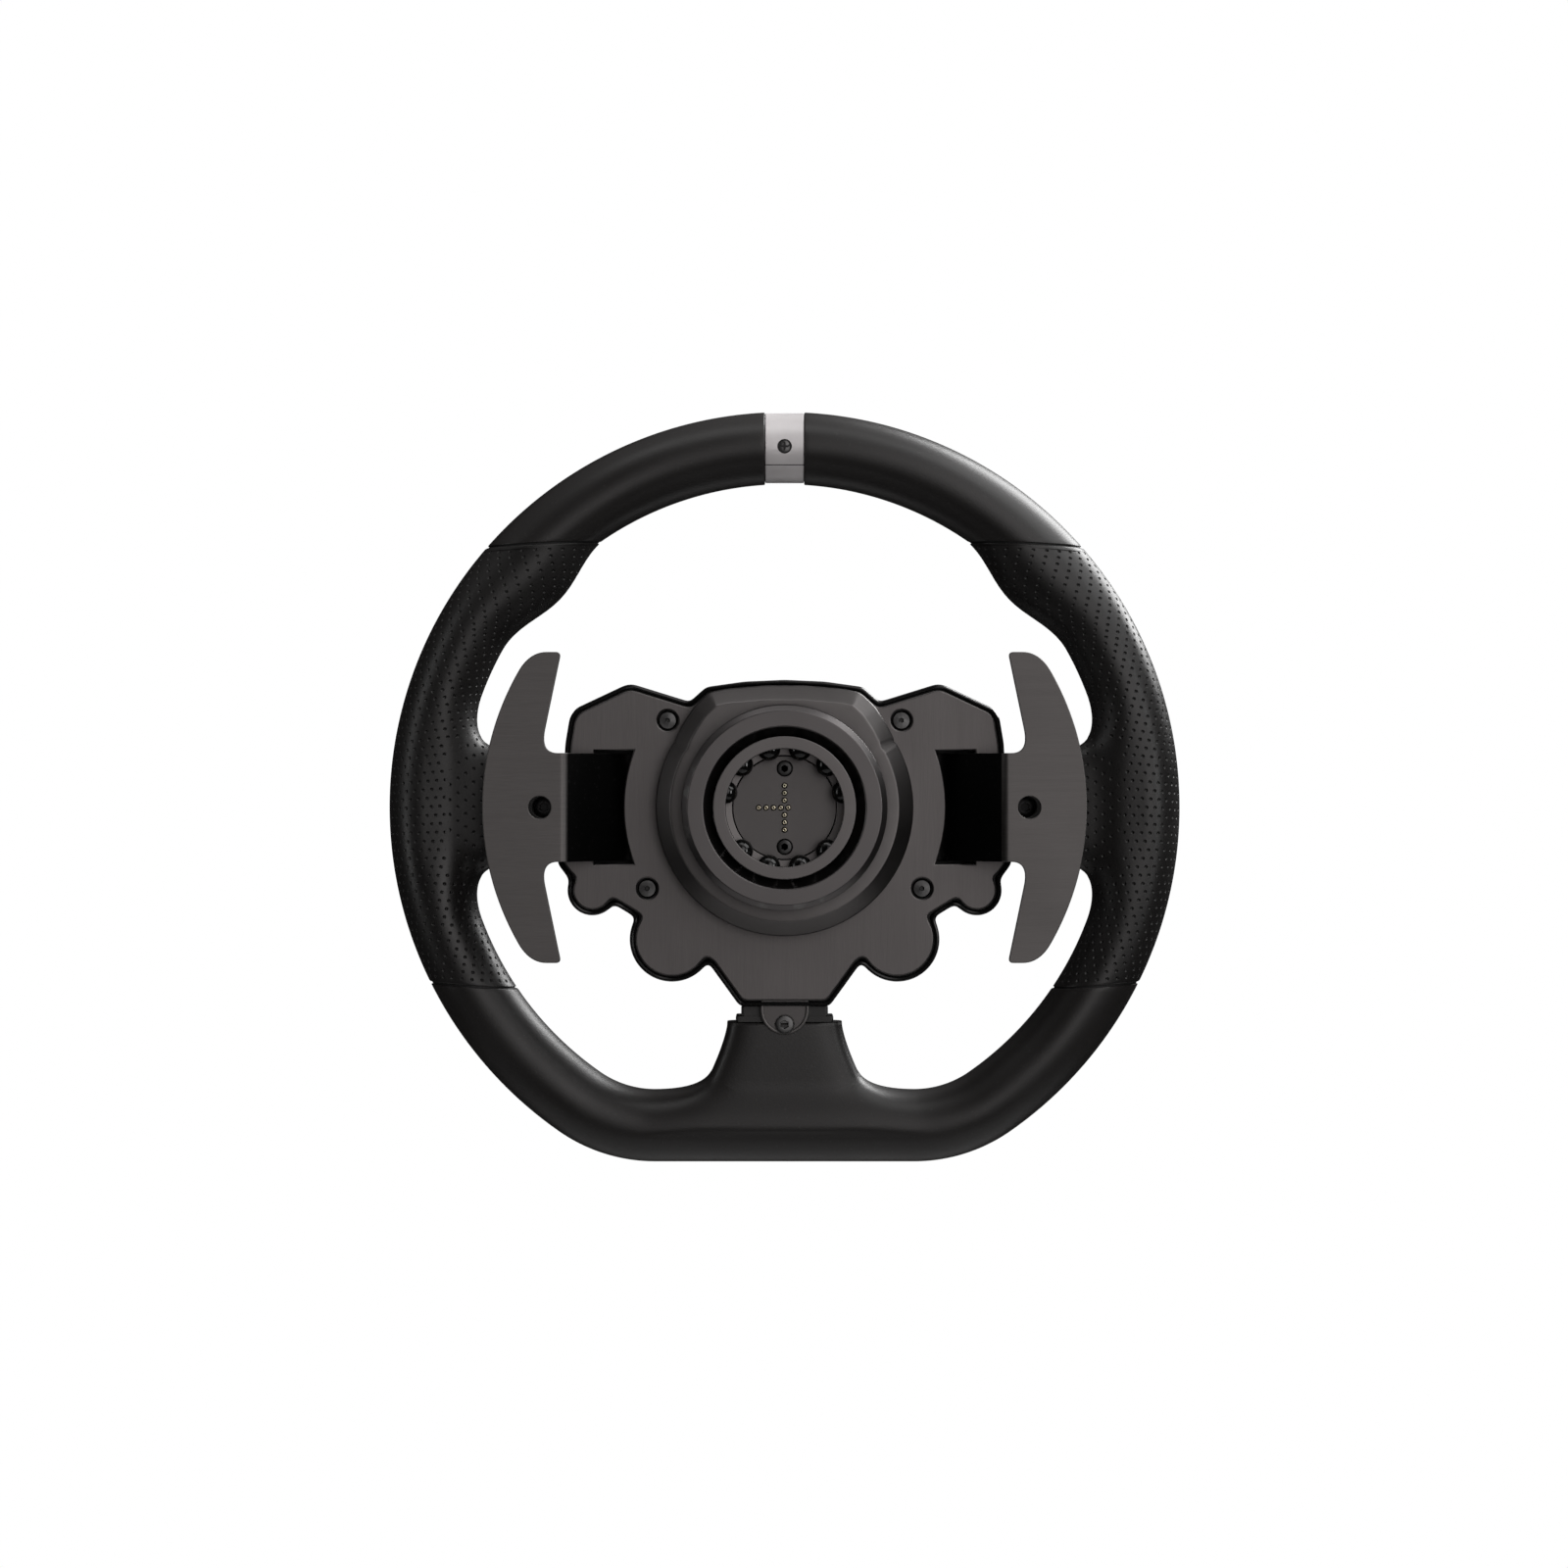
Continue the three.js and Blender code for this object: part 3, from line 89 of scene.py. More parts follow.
# Leather: pits in staggered cells. A cell's roles are its corners, the skin round the pit,
# the pit's brim, the edge of its floor and the middle of its floor.
PIT_RADIUS = 0.62
PIT_RINGS = ((1, PIT_RADIUS * 1.2), (2, PIT_RADIUS), (3, PIT_RADIUS * 0.5))
PIT_DEPTHS = (0.0, 0.0, 0.12, 0.42, 0.46)
PIT_LEANS = (0.0, 0.0, 1.1, 0.9, 0.0)
# Painted shade: how far each role's colour is darkened, most on the pit's floor.
PIT_PAINTED_SHADE = (0.0, 0.0, 0.35, 1.0, 1.0)
HANDLE_COLUMNS = 56
HANDLE_CELLS = 26
STUB_COLUMNS = 13
STUB_CELLS = 36

# Stubs round the side spokes
STUB_START = 82.0
STUB_RUN = 39.2
STUB_HALF = 17.5
STUB_FLARE = 15.0
STUB_DEPTH = 17.0
STUB_SWELL = 8.0
STUB_POWER = 3.6
STUB_LEATHER_RUN = 37.5
STUB_SINK_START = 116.0

# Fairing over the bottom spoke
FAIRING_TOP = 76.0
FAIRING_FOOT = 111.0
FAIRING_RUN = 36.8
FAIRING_HALF = 20.3
FAIRING_FLARE = 16.2
FAIRING_DEPTH = 12.0
FAIRING_POWER = 5.0

# Casing
REAR_Y = 44
LIP = 1.1
HUB_HALF = [
    (15.8, -70), (26.5, -55.2), (52.6, -38.7), (59.2, -34.7), (76, -25), (79.8, -20),
    (79.8, -8), (77.2, 20.4), (77.2, 22), (75.6, 31.6), (73.4, 34.8), (56, 43),
    (53.4, 43.3), (33.4, 37.1), (27.6, 42.3), (14, 44.2), (0, 44.8),
]
LARGE_LOBE = (39.6, -46.5, 14.9)
SMALL_LOBE = (67.6, -29.3, 8.8)
SLOT_HALF = 20
SLOT_OUTER = 67
SLOT_ARC = 56.7
CASE_SCREWS = {"upper": (41.1, 30.5), "lower": (48.3, -28.6)}
RECESS_RADIUS = 3.65
FLANGE_BORE = 33.8
NECK_Z = -71.5
TAB_RADIUS = 8.6
TAB_SCREW_Z = -76.4

# Quick release
BALL_CLOCKS = [15, 45, 75, 135, 165, 195, 225, 285, 315, 345]
BALL_SEAT = 20.8
BALL_RADIUS = 3.97
BALL_Y = 6
BALL_HOLE = 4.2
CONTACT_Y = 11.5
CONTACT_BOLT_Z = 13.5
FLANGE_RADIUS = 45
PIN_PITCH = 2.54
PINS = [(x, 0) for x in (-3.5, -2.5, -1.5, -0.5, 0.5)] + [(0, z) for z in (-3, -2, -1, 1, 2, 3)]

# Paddles and controls
BLADE_Y = 24
SHEET = 2.5
PADDLE_HOLE = (85, 3.9)
EYELET_RADIUS = 7.5
PADDLE_ROOT_HALF = 18.9
PADDLE_ROOT_Y = 51.9
PADDLE_PIVOT_X = 49.0
BLADE_ARC = 95.2
BLADE_OUTER = 105
BLADE_TIP = (77.6, 54.0)
EAR_BUTTONS = {"inner": (52, 31), "outer": (66.5, 27)}
ENCODER = (62, 4)
SIDES = {"right": 1, "left": -1}

# Studio, in metres and watts: each light's place, width, height and power
LIGHT_AIM = (0.0, 0.05, 0.0)
LIGHTS = {
    "upper_right_back": ((0.85, 0.75, 0.85), 0.7, 1.0, 24.0),
    "upper_right_side": ((0.78, -0.3, 0.85), 0.7, 0.9, 5.0),
    "right_front_strip": ((1.0, -0.75, 0.1), 0.12, 0.7, 1.6),
    "left_side_strip": ((-1.3, -0.45, 0.2), 0.2, 1.1, 2.2),
    "overhead_soft": ((-0.1, -0.3, 1.2), 1.0, 0.4, 1.9),
}
FLOOR_Z = -0.9
FLOOR_RADIUS = 0.9
CAMERA_LENS = 103.6
CAMERA_DISTANCE = 1.6
CAMERA_SIDE = -0.0002
CAMERA_HEIGHT = 0.00816


# ---- Finishes ----

def shader_node(tree, kind, **values):
    """A node of a tree. A value is a socket to wire in, a constant for that input, or a setting."""
    made = tree.nodes.new(kind)
    for key, value in values.items():
        name = key.replace("_", " ")
        if name in made.inputs:
            if isinstance(value, bpy.types.NodeSocket):
                tree.links.new(value, made.inputs[name])
            else:
                made.inputs[name].default_value = value
        else:
            setattr(made, key, value)
    return made


def maths(tree, operation, first, second=0.0, clamp=False):
    made = tree.nodes.new("ShaderNodeMath")
    made.operation = operation
    made.use_clamp = clamp
    for socket, value in zip(made.inputs, (first, second)):
        if isinstance(value, bpy.types.NodeSocket):
            tree.links.new(value, socket)
        else:
            socket.default_value = value
    return made.outputs[0]


def mixed(tree, share, first, second):
    made = tree.nodes.new("ShaderNodeMix")
    made.data_type = "RGBA"
    for socket, value in zip((made.inputs[0], made.inputs[6], made.inputs[7]), (share, first, second)):
        if isinstance(value, bpy.types.NodeSocket):
            tree.links.new(value, socket)
        else:
            socket.default_value = value
    return made.outputs[2]


def spread(tree, value, low, high, to_low, to_high):
    made = shader_node(
        tree, "ShaderNodeMapRange", Value=value, From_Min=low, From_Max=high, To_Min=to_low, To_Max=to_high
    )
    return made.outputs[0]


def effect(name, inputs, outputs):
    """An empty node group with float inputs and float outputs."""
    tree = bpy.data.node_groups.new(name, "ShaderNodeTree")
    for label, value in inputs.items():
        socket = tree.interface.new_socket(label, in_out="INPUT", socket_type="NodeSocketFloat")
        socket.default_value = value
    for label in outputs:
        tree.interface.new_socket(label, in_out="OUTPUT", socket_type="NodeSocketFloat")
    return tree, tree.nodes.new("NodeGroupInput").outputs, tree.nodes.new("NodeGroupOutput").inputs


def grain_effect():
    """Fine skin grain: pebbles and the creases between them, with slow tone changes."""
    tree, given, out = effect("skin_grain", {"Size": 900.0, "Patch Size": 30.0}, ("Height", "Tone"))
    place = tree.nodes.new("ShaderNodeTexCoord").outputs["Object"]
    cells = shader_node(tree, "ShaderNodeTexVoronoi", Vector=place, Scale=given["Size"])
    fine = shader_node(tree, "ShaderNodeTexNoise", Vector=place, Scale=given["Size"], Detail=3.0)
    slow = shader_node(tree, "ShaderNodeTexNoise", Vector=place, Scale=given["Patch Size"], Detail=4.0)
    both = maths(tree, "ADD", cells.outputs["Distance"], maths(tree, "MULTIPLY", fine.outputs[0], 0.6))
    tree.links.new(both, out["Height"])
    tree.links.new(slow.outputs[0], out["Tone"])
    return tree


def brushing_effect():
    """Hairline brushing: noise drawn out along one axis, at two widths."""
    names = ("Across X", "Across Y", "Across Z")
    tree, given, out = effect("hairline_brushing", {n: 1.0 for n in names}, ("Line", "Broad"))
    place = tree.nodes.new("ShaderNodeTexCoord").outputs["Object"]
    stretch = tree.nodes.new("ShaderNodeCombineXYZ")
    for i, label in enumerate(names):
        tree.links.new(given[label], stretch.inputs[i])
    drawn = tree.nodes.new("ShaderNodeVectorMath")
    drawn.operation = "MULTIPLY"
    tree.links.new(place, drawn.inputs[0])
    tree.links.new(stretch.outputs[0], drawn.inputs[1])
    for label, scale, detail in (("Line", 1.0, 2.0), ("Broad", 0.17, 3.0)):
        noise = shader_node(tree, "ShaderNodeTexNoise", Vector=drawn.outputs[0], Scale=scale, Detail=detail)
        tree.links.new(noise.outputs[0], out[label])
    return tree


def turning_effect():
    """Lathe marks: fine rings round the steering axis, broken up a little round the turn."""
    tree, given, out = effect("lathe_marks", {"Pitch": 2600.0}, ("Ring", "Sweep"))
    place = tree.nodes.new("ShaderNodeTexCoord").outputs["Object"]
    parts = shader_node(tree, "ShaderNodeSeparateXYZ", Vector=place)
    x = parts.outputs[0]
    z = parts.outputs[2]
    square = maths(tree, "ADD", maths(tree, "MULTIPLY", x, x), maths(tree, "MULTIPLY", z, z))
    radius = maths(tree, "SQRT", square)
    along = maths(tree, "ADD", radius, parts.outputs[1])
    scaled = maths(tree, "MULTIPLY", along, given["Pitch"])
    ring = tree.nodes.new("ShaderNodeCombineXYZ")
    tree.links.new(scaled, ring.inputs[0])
    marks = shader_node(tree, "ShaderNodeTexNoise", Vector=ring.outputs[0], Scale=1.0, Detail=2.0)
    slow = shader_node(tree, "ShaderNodeTexNoise", Vector=place, Scale=40.0, Detail=3.0)
    tree.links.new(marks.outputs[0], out["Ring"])
    tree.links.new(slow.outputs[0], out["Sweep"])
    return tree


def wear_effect():
    """Rubbed edges: convex edges, broken up by noise."""
    tree, given, out = effect("rubbed_edges", {"Start": 0.52, "Reach": 0.06, "Break Up": 220.0}, ("Mask",))
    bend = tree.nodes.new("ShaderNodeNewGeometry").outputs["Pointiness"]
    place = tree.nodes.new("ShaderNodeTexCoord").outputs["Object"]
    noise = shader_node(tree, "ShaderNodeTexNoise", Vector=place, Scale=given["Break Up"], Detail=3.0)
    above = maths(tree, "DIVIDE", maths(tree, "SUBTRACT", bend, given["Start"]), given["Reach"], clamp=True)
    broken = spread(tree, noise.outputs[0], 0.35, 0.65, 0.2, 1.0)
    tree.links.new(maths(tree, "MULTIPLY", above, broken, clamp=True), out["Mask"])
    return tree


def handling_effect():
    """Smudges left by handling: soft patches that change the gloss, with a trace of dust."""
    sizes = {"Smudge Size": 26.0, "Dust Size": 900.0}
    tree, given, out = effect("handling_marks", sizes, ("Smudge", "Dust"))
    place = tree.nodes.new("ShaderNodeTexCoord").outputs["Object"]
    smudge = shader_node(
        tree, "ShaderNodeTexNoise", Vector=place, Scale=given["Smudge Size"], Detail=5.0, Distortion=0.7
    )
    specks = shader_node(tree, "ShaderNodeTexNoise", Vector=place, Scale=given["Dust Size"], Detail=1.0)
    tree.links.new(smudge.outputs[0], out["Smudge"])
    tree.links.new(spread(tree, specks.outputs[0], 0.66, 0.78, 0.0, 1.0), out["Dust"])
    return tree


GRAIN = grain_effect()
BRUSHING = brushing_effect()
TURNING = turning_effect()
WEAR = wear_effect()
HANDLING = handling_effect()


def colour(value):
    return (*value, 1.0) if not isinstance(value, float) else (value, value, value, 1.0)


class Finish:
    """A material whose shader takes its colour and gloss from shared effects."""

    def __init__(self, name, base, roughness, metallic=0.0, **sockets):
        self.material = bpy.data.materials.new(name)
        self.material.use_nodes = True
        self.tree = self.material.node_tree
        self.shader = self.tree.nodes["Principled BSDF"]
        self.shader.inputs["Metallic"].default_value = metallic
        for key, value in sockets.items():
            self.shader.inputs[key.replace("_", " ")].default_value = value
        self.base = colour(base)
        self.rough = roughness
        self.bump = None

    def effect(self, group, **values):
        made = self.tree.nodes.new("ShaderNodeGroup")
        made.node_tree = group
        for key, value in values.items():
            made.inputs[key.replace("_", " ")].default_value = value
        return made.outputs

    def tint(self, mask, other, low=0.0, high=1.0):
        share = spread(self.tree, mask, 0.0, 1.0, low, high)
        self.base = mixed(self.tree, share, self.base, colour(other))
        return self

    def vary(self, tone, amount):
        """Makes the colour darker and lighter with a tone that runs from 0 to 1."""
        gain = spread(self.tree, tone, 0.25, 0.75, 1 - amount, 1 + amount)
        scale = self.tree.nodes.new("ShaderNodeMix")
        scale.data_type = "RGBA"
        scale.blend_type = "MULTIPLY"
        scale.inputs[0].default_value = 1.0
        base = self.base
        if isinstance(base, bpy.types.NodeSocket):
            self.tree.links.new(base, scale.inputs[6])
        else:
            scale.inputs[6].default_value = base
        self.tree.links.new(gain, scale.inputs[7])
        self.base = scale.outputs[2]
        return self

    def gloss(self, mask, low, high):
        """Adds a change of roughness that follows a mask."""
        change = spread(self.tree, mask, 0.25, 0.75, low, high)
        self.rough = maths(self.tree, "ADD", self.rough, change, clamp=True)
        return self

    def raised(self, height, strength, distance):
        extra = {"Normal": self.bump} if self.bump else {}
        bump = shader_node(
            self.tree, "ShaderNodeBump", Height=height, Strength=strength, Distance=distance, **extra
        )
        self.bump = bump.outputs[0]
        return self

    def done(self):
        for label, value in (("Base Color", self.base), ("Roughness", self.rough)):
            if isinstance(value, bpy.types.NodeSocket):
                self.tree.links.new(value, self.shader.inputs[label])
            else:
                self.shader.inputs[label].default_value = value
        if self.bump:
            self.tree.links.new(self.bump, self.shader.inputs["Normal"])
        return self.material


def smooth_grip():
    made = Finish("smooth_grip", (0.0115, 0.0104, 0.01), 0.4, Specular_IOR_Level=0.5)
    grain = made.effect(GRAIN, Size=1500.0, Patch_Size=18.0)
    marks = made.effect(HANDLING, Smudge_Size=22.0)
    made.vary(grain["Tone"], 0.12).gloss(marks["Smudge"], -0.04, 0.07)
    return made.tint(marks["Dust"], 0.09, 0.0, 0.12).raised(grain["Height"], 0.16, 0.00008).done()


def perforated_leather():
    made = Finish("perforated_leather", (0.0085, 0.0078, 0.0076), 0.4, Specular_IOR_Level=0.5)
    grain = made.effect(GRAIN, Size=1150.0, Patch_Size=26.0)
    marks = made.effect(HANDLING, Smudge_Size=30.0)
    # Painted shade: the pits' floors are darkened towards black, most in their middles.
    pit = made.tree.nodes.new("ShaderNodeAttribute")
    pit.attribute_name = "pit_painted_shade"
    made.vary(grain["Tone"], 0.2).gloss(marks["Smudge"], -0.07, 0.09)
    made.tint(pit.outputs["Fac"], 0.001, 0.0, 0.6)
    return made.raised(grain["Height"], 0.15, 0.00008).done()


def brushed(name, base, roughness, across, metallic=1.0):
    made = Finish(name, base, roughness, metallic)
    lines = made.effect(BRUSHING, Across_X=across[0], Across_Y=across[1], Across_Z=across[2])
    marks = made.effect(HANDLING)
    made.vary(lines["Line"], 0.11).vary(lines["Broad"], 0.04)
    made.gloss(lines["Line"], -0.05, 0.06).gloss(marks["Smudge"], -0.02, 0.04)
    return made.raised(lines["Line"], 0.12, 0.00004).done()


def turned_metal(name, base, roughness, wear=0.45):
    made = Finish(name, base, roughness, 1.0)
    marks = made.effect(TURNING)
    hands = made.effect(HANDLING)
    edges = made.effect(WEAR, Start=0.515)
    made.vary(marks["Ring"], 0.07).vary(marks["Sweep"], 0.05)
    made.gloss(marks["Ring"], -0.03, 0.05).gloss(hands["Smudge"], -0.03, 0.04)
    made.tint(edges["Mask"], 0.3, 0.0, wear)
    return made.raised(marks["Ring"], 0.05, 0.00001).done()


def moulded(name, base, roughness, grain_size=2200.0, height=0.12, **sockets):
    made = Finish(name, base, roughness, **sockets)
    grain = made.effect(GRAIN, Size=grain_size, Patch_Size=24.0)
    marks = made.effect(HANDLING)
    made.vary(grain["Tone"], 0.12).gloss(marks["Smudge"], -0.03, 0.06)
    made.tint(marks["Dust"], 0.12, 0.0, 0.1)
    return made.raised(grain["Height"], height, 0.00005).done()


def bare_metal(name, base, roughness, wear=0.3, metallic=1.0):
    made = Finish(name, base, roughness, metallic)
    grain = made.effect(GRAIN, Size=1400.0, Patch_Size=60.0)
    made.vary(grain["Tone"], 0.1).gloss(grain["Tone"], -0.04, 0.05)
    if wear:
        edges = made.effect(WEAR)
        made.tint(edges["Mask"], 0.5, 0.0, wear)
    return made.raised(grain["Height"], 0.08, 0.00003).done()


FINISHES = {
    "smooth_grip": smooth_grip(),
    "perforated_leather": perforated_leather(),
    "silver": bare_metal("silver", (0.76, 0.735, 0.74), 0.46, 0.1, 0.3),
    "black_screw": bare_metal("black_screw", 0.035, 0.36, 0.25),
    "brushed_graphite": brushed("brushed_graphite", (0.125, 0.118, 0.117), 0.4, (5200.0, 300.0, 140.0)),
    "paddle_alloy": brushed("paddle_alloy", (0.122, 0.116, 0.114), 0.42, (160.0, 300.0, 4600.0)),
    "gloss_black": moulded("gloss_black", 0.006, 0.16, 3000.0, 0.04, Coat_Weight=0.35),
    "matte_black": moulded("matte_black", (0.012, 0.0115, 0.011), 0.42),
    # Painted shade: near black with almost no shine for the paddles' sloped feet, which are bare alloy.
    "slope_painted_shade": moulded("slope_painted_shade", 0.002, 0.4, 3000.0, 0.04, Specular_IOR_Level=0.08),
    # Painted shade: near black for floors, walls, wells, gaps and hollows that lie in shade.
    "deep_black": moulded("deep_black", 0.004, 0.6),
    "anodised_flange": turned_metal("anodised_flange", (0.115, 0.109, 0.108), 0.36, 0.2),
    "anodised_collar": turned_metal("anodised_collar", (0.11, 0.104, 0.104), 0.34, 0.25),
    "anodised_sleeve": turned_metal("anodised_sleeve", (0.13, 0.123, 0.122), 0.36),
    "contact_face": bare_metal("contact_face", (0.12, 0.114, 0.113), 0.46, 0.0),
    "gold_pins": bare_metal("gold_pins", (1.0, 0.92, 0.72), 0.3, 0.0, 0.9),
    "bolt_steel": bare_metal("bolt_steel", 0.1, 0.35, 0.2),
    # Painted shade: near black with little shine for the steel lock balls, standing in for the dark they
    # reflect.
    "ball_steel": bare_metal("ball_steel", 0.004, 0.1, 0.0, 0.1),
    "spring_steel": bare_metal("spring_steel", 0.3, 0.3),
    "pin_steel": bare_metal("pin_steel", 0.35, 0.28),
    "tab_alloy": bare_metal("tab_alloy", (0.1, 0.095, 0.094), 0.42, 0.15),
    "cast_alloy": bare_metal("cast_alloy", 0.05, 0.55, 0.1),
    "rubber_cap": moulded("rubber_cap", 0.011, 0.6, 1800.0, 0.3),
    "gimbal_plastic": moulded("gimbal_plastic", 0.01, 0.5),
    "button_plastic": moulded("button_plastic", (0.016, 0.016, 0.018), 0.34),
    "encoder_alloy": turned_metal("encoder_alloy", 0.09, 0.35),
    "cap_alloy": turned_metal("cap_alloy", (0.12, 0.115, 0.115), 0.34),
    "smoked_lens": moulded("smoked_lens", (0.008, 0.008, 0.011), 0.08, Coat_Weight=0.6),
    "board": moulded("board", (0.008, 0.035, 0.013), 0.45),
    "lamp_lens": moulded("lamp_lens", (0.28, 0.28, 0.3), 0.2, Coat_Weight=0.5),
}


# ---- Making pieces ----

def piece(name, points, faces, finish, body=WHEEL, slot=None, stands_for=(), smooth=40.0, normals=None):
    """A mesh object from points in millimetres, riding on a CAD body."""
    if normals is not None:
        faces = faced(points, faces, normals)
    mesh = raw_mesh(name, points, faces)
    made = bpy.data.objects.new(name, mesh)
    bpy.context.scene.collection.objects.link(made)
    mesh.materials.append(FINISHES[finish])
    if normals is None:
        tidy_mesh(mesh)
    mesh.shade_smooth()
    if normals is not None:
        mesh.normals_split_custom_set_from_vertices([tuple(map(float, n)) for n in normals])
    elif smooth:
        crisp(made, smooth)
    return settled(made, finish, body, slot, stands_for)


def raw_mesh(name, points, faces):
    """A mesh in metres from points in millimetres."""
    mesh = bpy.data.meshes.new(name)
    placed = [tuple(float(c) * MM for c in point) for point in points]
    mesh.from_pydata(placed, [], [list(map(int, face)) for face in faces])
    return mesh


def faced(points, faces, normals):
    """Faces turned to the side that their points' normals are on."""
    points = np.asarray(points, float)
    made = []
    for face in faces:
        a, b, c = points[face[0]], points[face[1]], points[face[2]]
        way = np.cross(b - a, c - a) @ np.sum([normals[i] for i in face], axis=0)
        made.append(tuple(face) if way > 0 else tuple(face)[::-1])
    return made


def tidy_mesh(mesh):
    """Turns every face outwards."""
    shape = bmesh.new()
    shape.from_mesh(mesh)
    bmesh.ops.recalc_face_normals(shape, faces=shape.faces)
    shape.to_mesh(mesh)
    shape.free()


def crisp(made, angle):
    """Keeps wide faces flat in the light and lets only small edge fillets turn."""
    made.data.set_sharp_from_angle(angle=math.radians(angle))
    even = made.modifiers.new("flat_faces", "WEIGHTED_NORMAL")
    even.keep_sharp = True
    even.weight = 100


def settled(made, finish, body, slot, stands_for):
    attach(made, body)
    slot or finish
    if stands_for:
        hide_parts(*stands_for)
    return made


def frozen(made):
    """Applies an object's modifiers to its mesh."""
    depth = bpy.context.evaluated_depsgraph_get()
    mesh = bpy.data.meshes.new_from_object(made.evaluated_get(depth))
    old = made.data
    made.modifiers.clear()
    made.data = mesh
    bpy.data.meshes.remove(old)
    return made


def carved(made, cutters, smooth=40.0):
    """Cuts closed shapes out of a piece."""
    made.modifiers.clear()
    for i, (points, faces) in enumerate(cutters):
        mesh = raw_mesh("cutter", points, faces)
        tidy_mesh(mesh)
        tool = bpy.data.objects.new(f"cutter_{i}", mesh)
        bpy.context.scene.collection.objects.link(tool)
        cut = made.modifiers.new("cut", "BOOLEAN")
        cut.object = tool
        cut.solver = "EXACT"
        bpy.context.view_layer.update()
        frozen(made)
        bpy.data.objects.remove(tool)
    made.data.shade_smooth()
    crisp(made, smooth)
    return made


def grid_faces(rows, columns, closed=True):
    """Quads between rows of points, closed round each row or open."""
    faces = []
    last = columns if closed else columns - 1
    for i in range(rows - 1):
        for j in range(last):
            k = (j + 1) % columns
            faces.append((i * columns + j, i * columns + k, (i + 1) * columns + k, (i + 1) * columns + j))
    return faces


def rings(loops, cap_first=False, cap_last=False):
    """Points and faces of a skin through loops that have the same number of points."""
    count = len(loops[0])
    points = [p for loop in loops for p in loop]
    faces = grid_faces(len(loops), count)
    if cap_first:
        faces.append(tuple(range(count)))
    if cap_last:
        start = (len(loops) - 1) * count
        faces.append(tuple(range(start, start + count)))
    return points, faces


def bend(start, corner, end, shares):
    """Points on a soft bend from start to end, which leaves and arrives in line with the corner."""
    return [tuple((1 - t) ** 2 * start + 2 * t * (1 - t) * corner + t * t * end) for t in shares]


def corner_bend(before, corner, after, radius, steps, most):
    """A corner rounded off, over no more than a share of the shorter edge beside it."""
    here = np.array(corner, float)
    back = np.array(before, float) - here
    ahead = np.array(after, float) - here
    reach = min(radius, np.linalg.norm(back) * most, np.linalg.norm(ahead) * most)
    start = here + back / np.linalg.norm(back) * reach
    end = here + ahead / np.linalg.norm(ahead) * reach
    return bend(start, here, end, [i / steps for i in range(steps + 1)])


def rounded(profile, radius=0.35, steps=4):
    """A profile with its corners rounded off, as far as its edges allow."""
    made = [profile[0]]
    for before, corner, after in zip(profile, profile[1:], profile[2:]):
        made += corner_bend(before, corner, after, radius, steps, 0.45)
    made.append(profile[-1])
    return made


def corner_rounded(corners, radius, steps=6):
    """A closed outline with its corners rounded off, by one radius or by one for each corner."""
    closed = [corners[-1], *corners, corners[0]]
    radii = radius if isinstance(radius, list) else [radius] * len(corners)
    made = []
    for before, corner, after, size in zip(closed, closed[1:], closed[2:], radii):
        made += corner_bend(before, corner, after, size, steps, 0.48)
    return made


def circle(radius, y, x=0.0, z=0.0, sides=96):
    return [
        (x + radius * math.sin(TURN * i / sides), y, z + radius * math.cos(TURN * i / sides))
        for i in range(sides)
    ]


def lathe(profile, x=0.0, z=0.0, sides=96, radius=0.35):
    """Points and faces of a profile of (radius, y) corners turned round an axis along Y."""
    smooth = rounded(profile, radius)
    hub_first = smooth[0][0] < 1e-6
    hub_last = smooth[-1][0] < 1e-6
    middle = smooth[1 if hub_first else 0 : len(smooth) - (1 if hub_last else 0)]
    points, faces = rings([circle(r, y, x, z, sides) for r, y in middle])
    for is_hub, start, y in (
        (hub_first, 0, smooth[0][1]),
        (hub_last, (len(middle) - 1) * sides, smooth[-1][1]),
    ):
        if is_hub:
            centre = len(points)
            points.append((x, y, z))
            faces += [(start + j, start + (j + 1) % sides, centre) for j in range(sides)]
    return points, faces


def rod(radius, y_from, y_to, x=0.0, z=0.0, sides=64):
    return rings([circle(radius, y_from, x, z, sides), circle(radius, y_to, x, z, sides)], True, True)


def lathe_piece(name, profile, finish, x=0.0, z=0.0, sides=96, radius=0.35, **more):
    points, faces = lathe(profile, x, z, sides, radius)
    return piece(name, points, faces, finish, **more)


def plate_piece(name, loops, y_from, y_to, bevel, finish, **more):
    """A plate with rounded edges. The first loop is its outline and the others are holes."""
    curve = bpy.data.curves.new(name, "CURVE")
    curve.dimensions = "2D"
    curve.fill_mode = "BOTH"
    curve.extrude = ((y_to - y_from) / 2 - bevel) * MM
    curve.bevel_depth = bevel * MM
    curve.bevel_resolution = 3
    curve.offset = -bevel * MM
    for loop in loops:
        spline = curve.splines.new("POLY")
        spline.points.add(len(loop) - 1)
        for point, (x, z) in zip(spline.points, loop):
            point.co = (x * MM, z * MM, 0, 1)
        spline.use_cyclic_u = True
    flat = bpy.data.objects.new(name + "_flat", curve)
    bpy.context.scene.collection.objects.link(flat)
    bpy.context.view_layer.update()
    mesh = bpy.data.meshes.new_from_object(flat.evaluated_get(bpy.context.evaluated_depsgraph_get()))
    bpy.data.objects.remove(flat)
    points = [(v.co.x / MM, (y_from + y_to) / 2 - v.co.z / MM, v.co.y / MM) for v in mesh.vertices]
    faces = [tuple(p.vertices) for p in mesh.polygons]
    bpy.data.meshes.remove(mesh)
    points, faces = welded(points, faces)
    made = piece(name, points, faces, finish, **more)
    flats_kept(made)
    return made


def flats_kept(made):
    """Parts the wide faces across Y from the fillets round them, so that they shade flat."""
    made.modifiers.clear()
    shape = bmesh.new()
    shape.from_mesh(made.data)
    shape.normal_update()
    for edge in shape.edges:
        if len({abs(face.normal.y) > 0.9995 for face in edge.link_faces}) > 1:
            edge.smooth = False
    shape.to_mesh(made.data)
    shape.free()


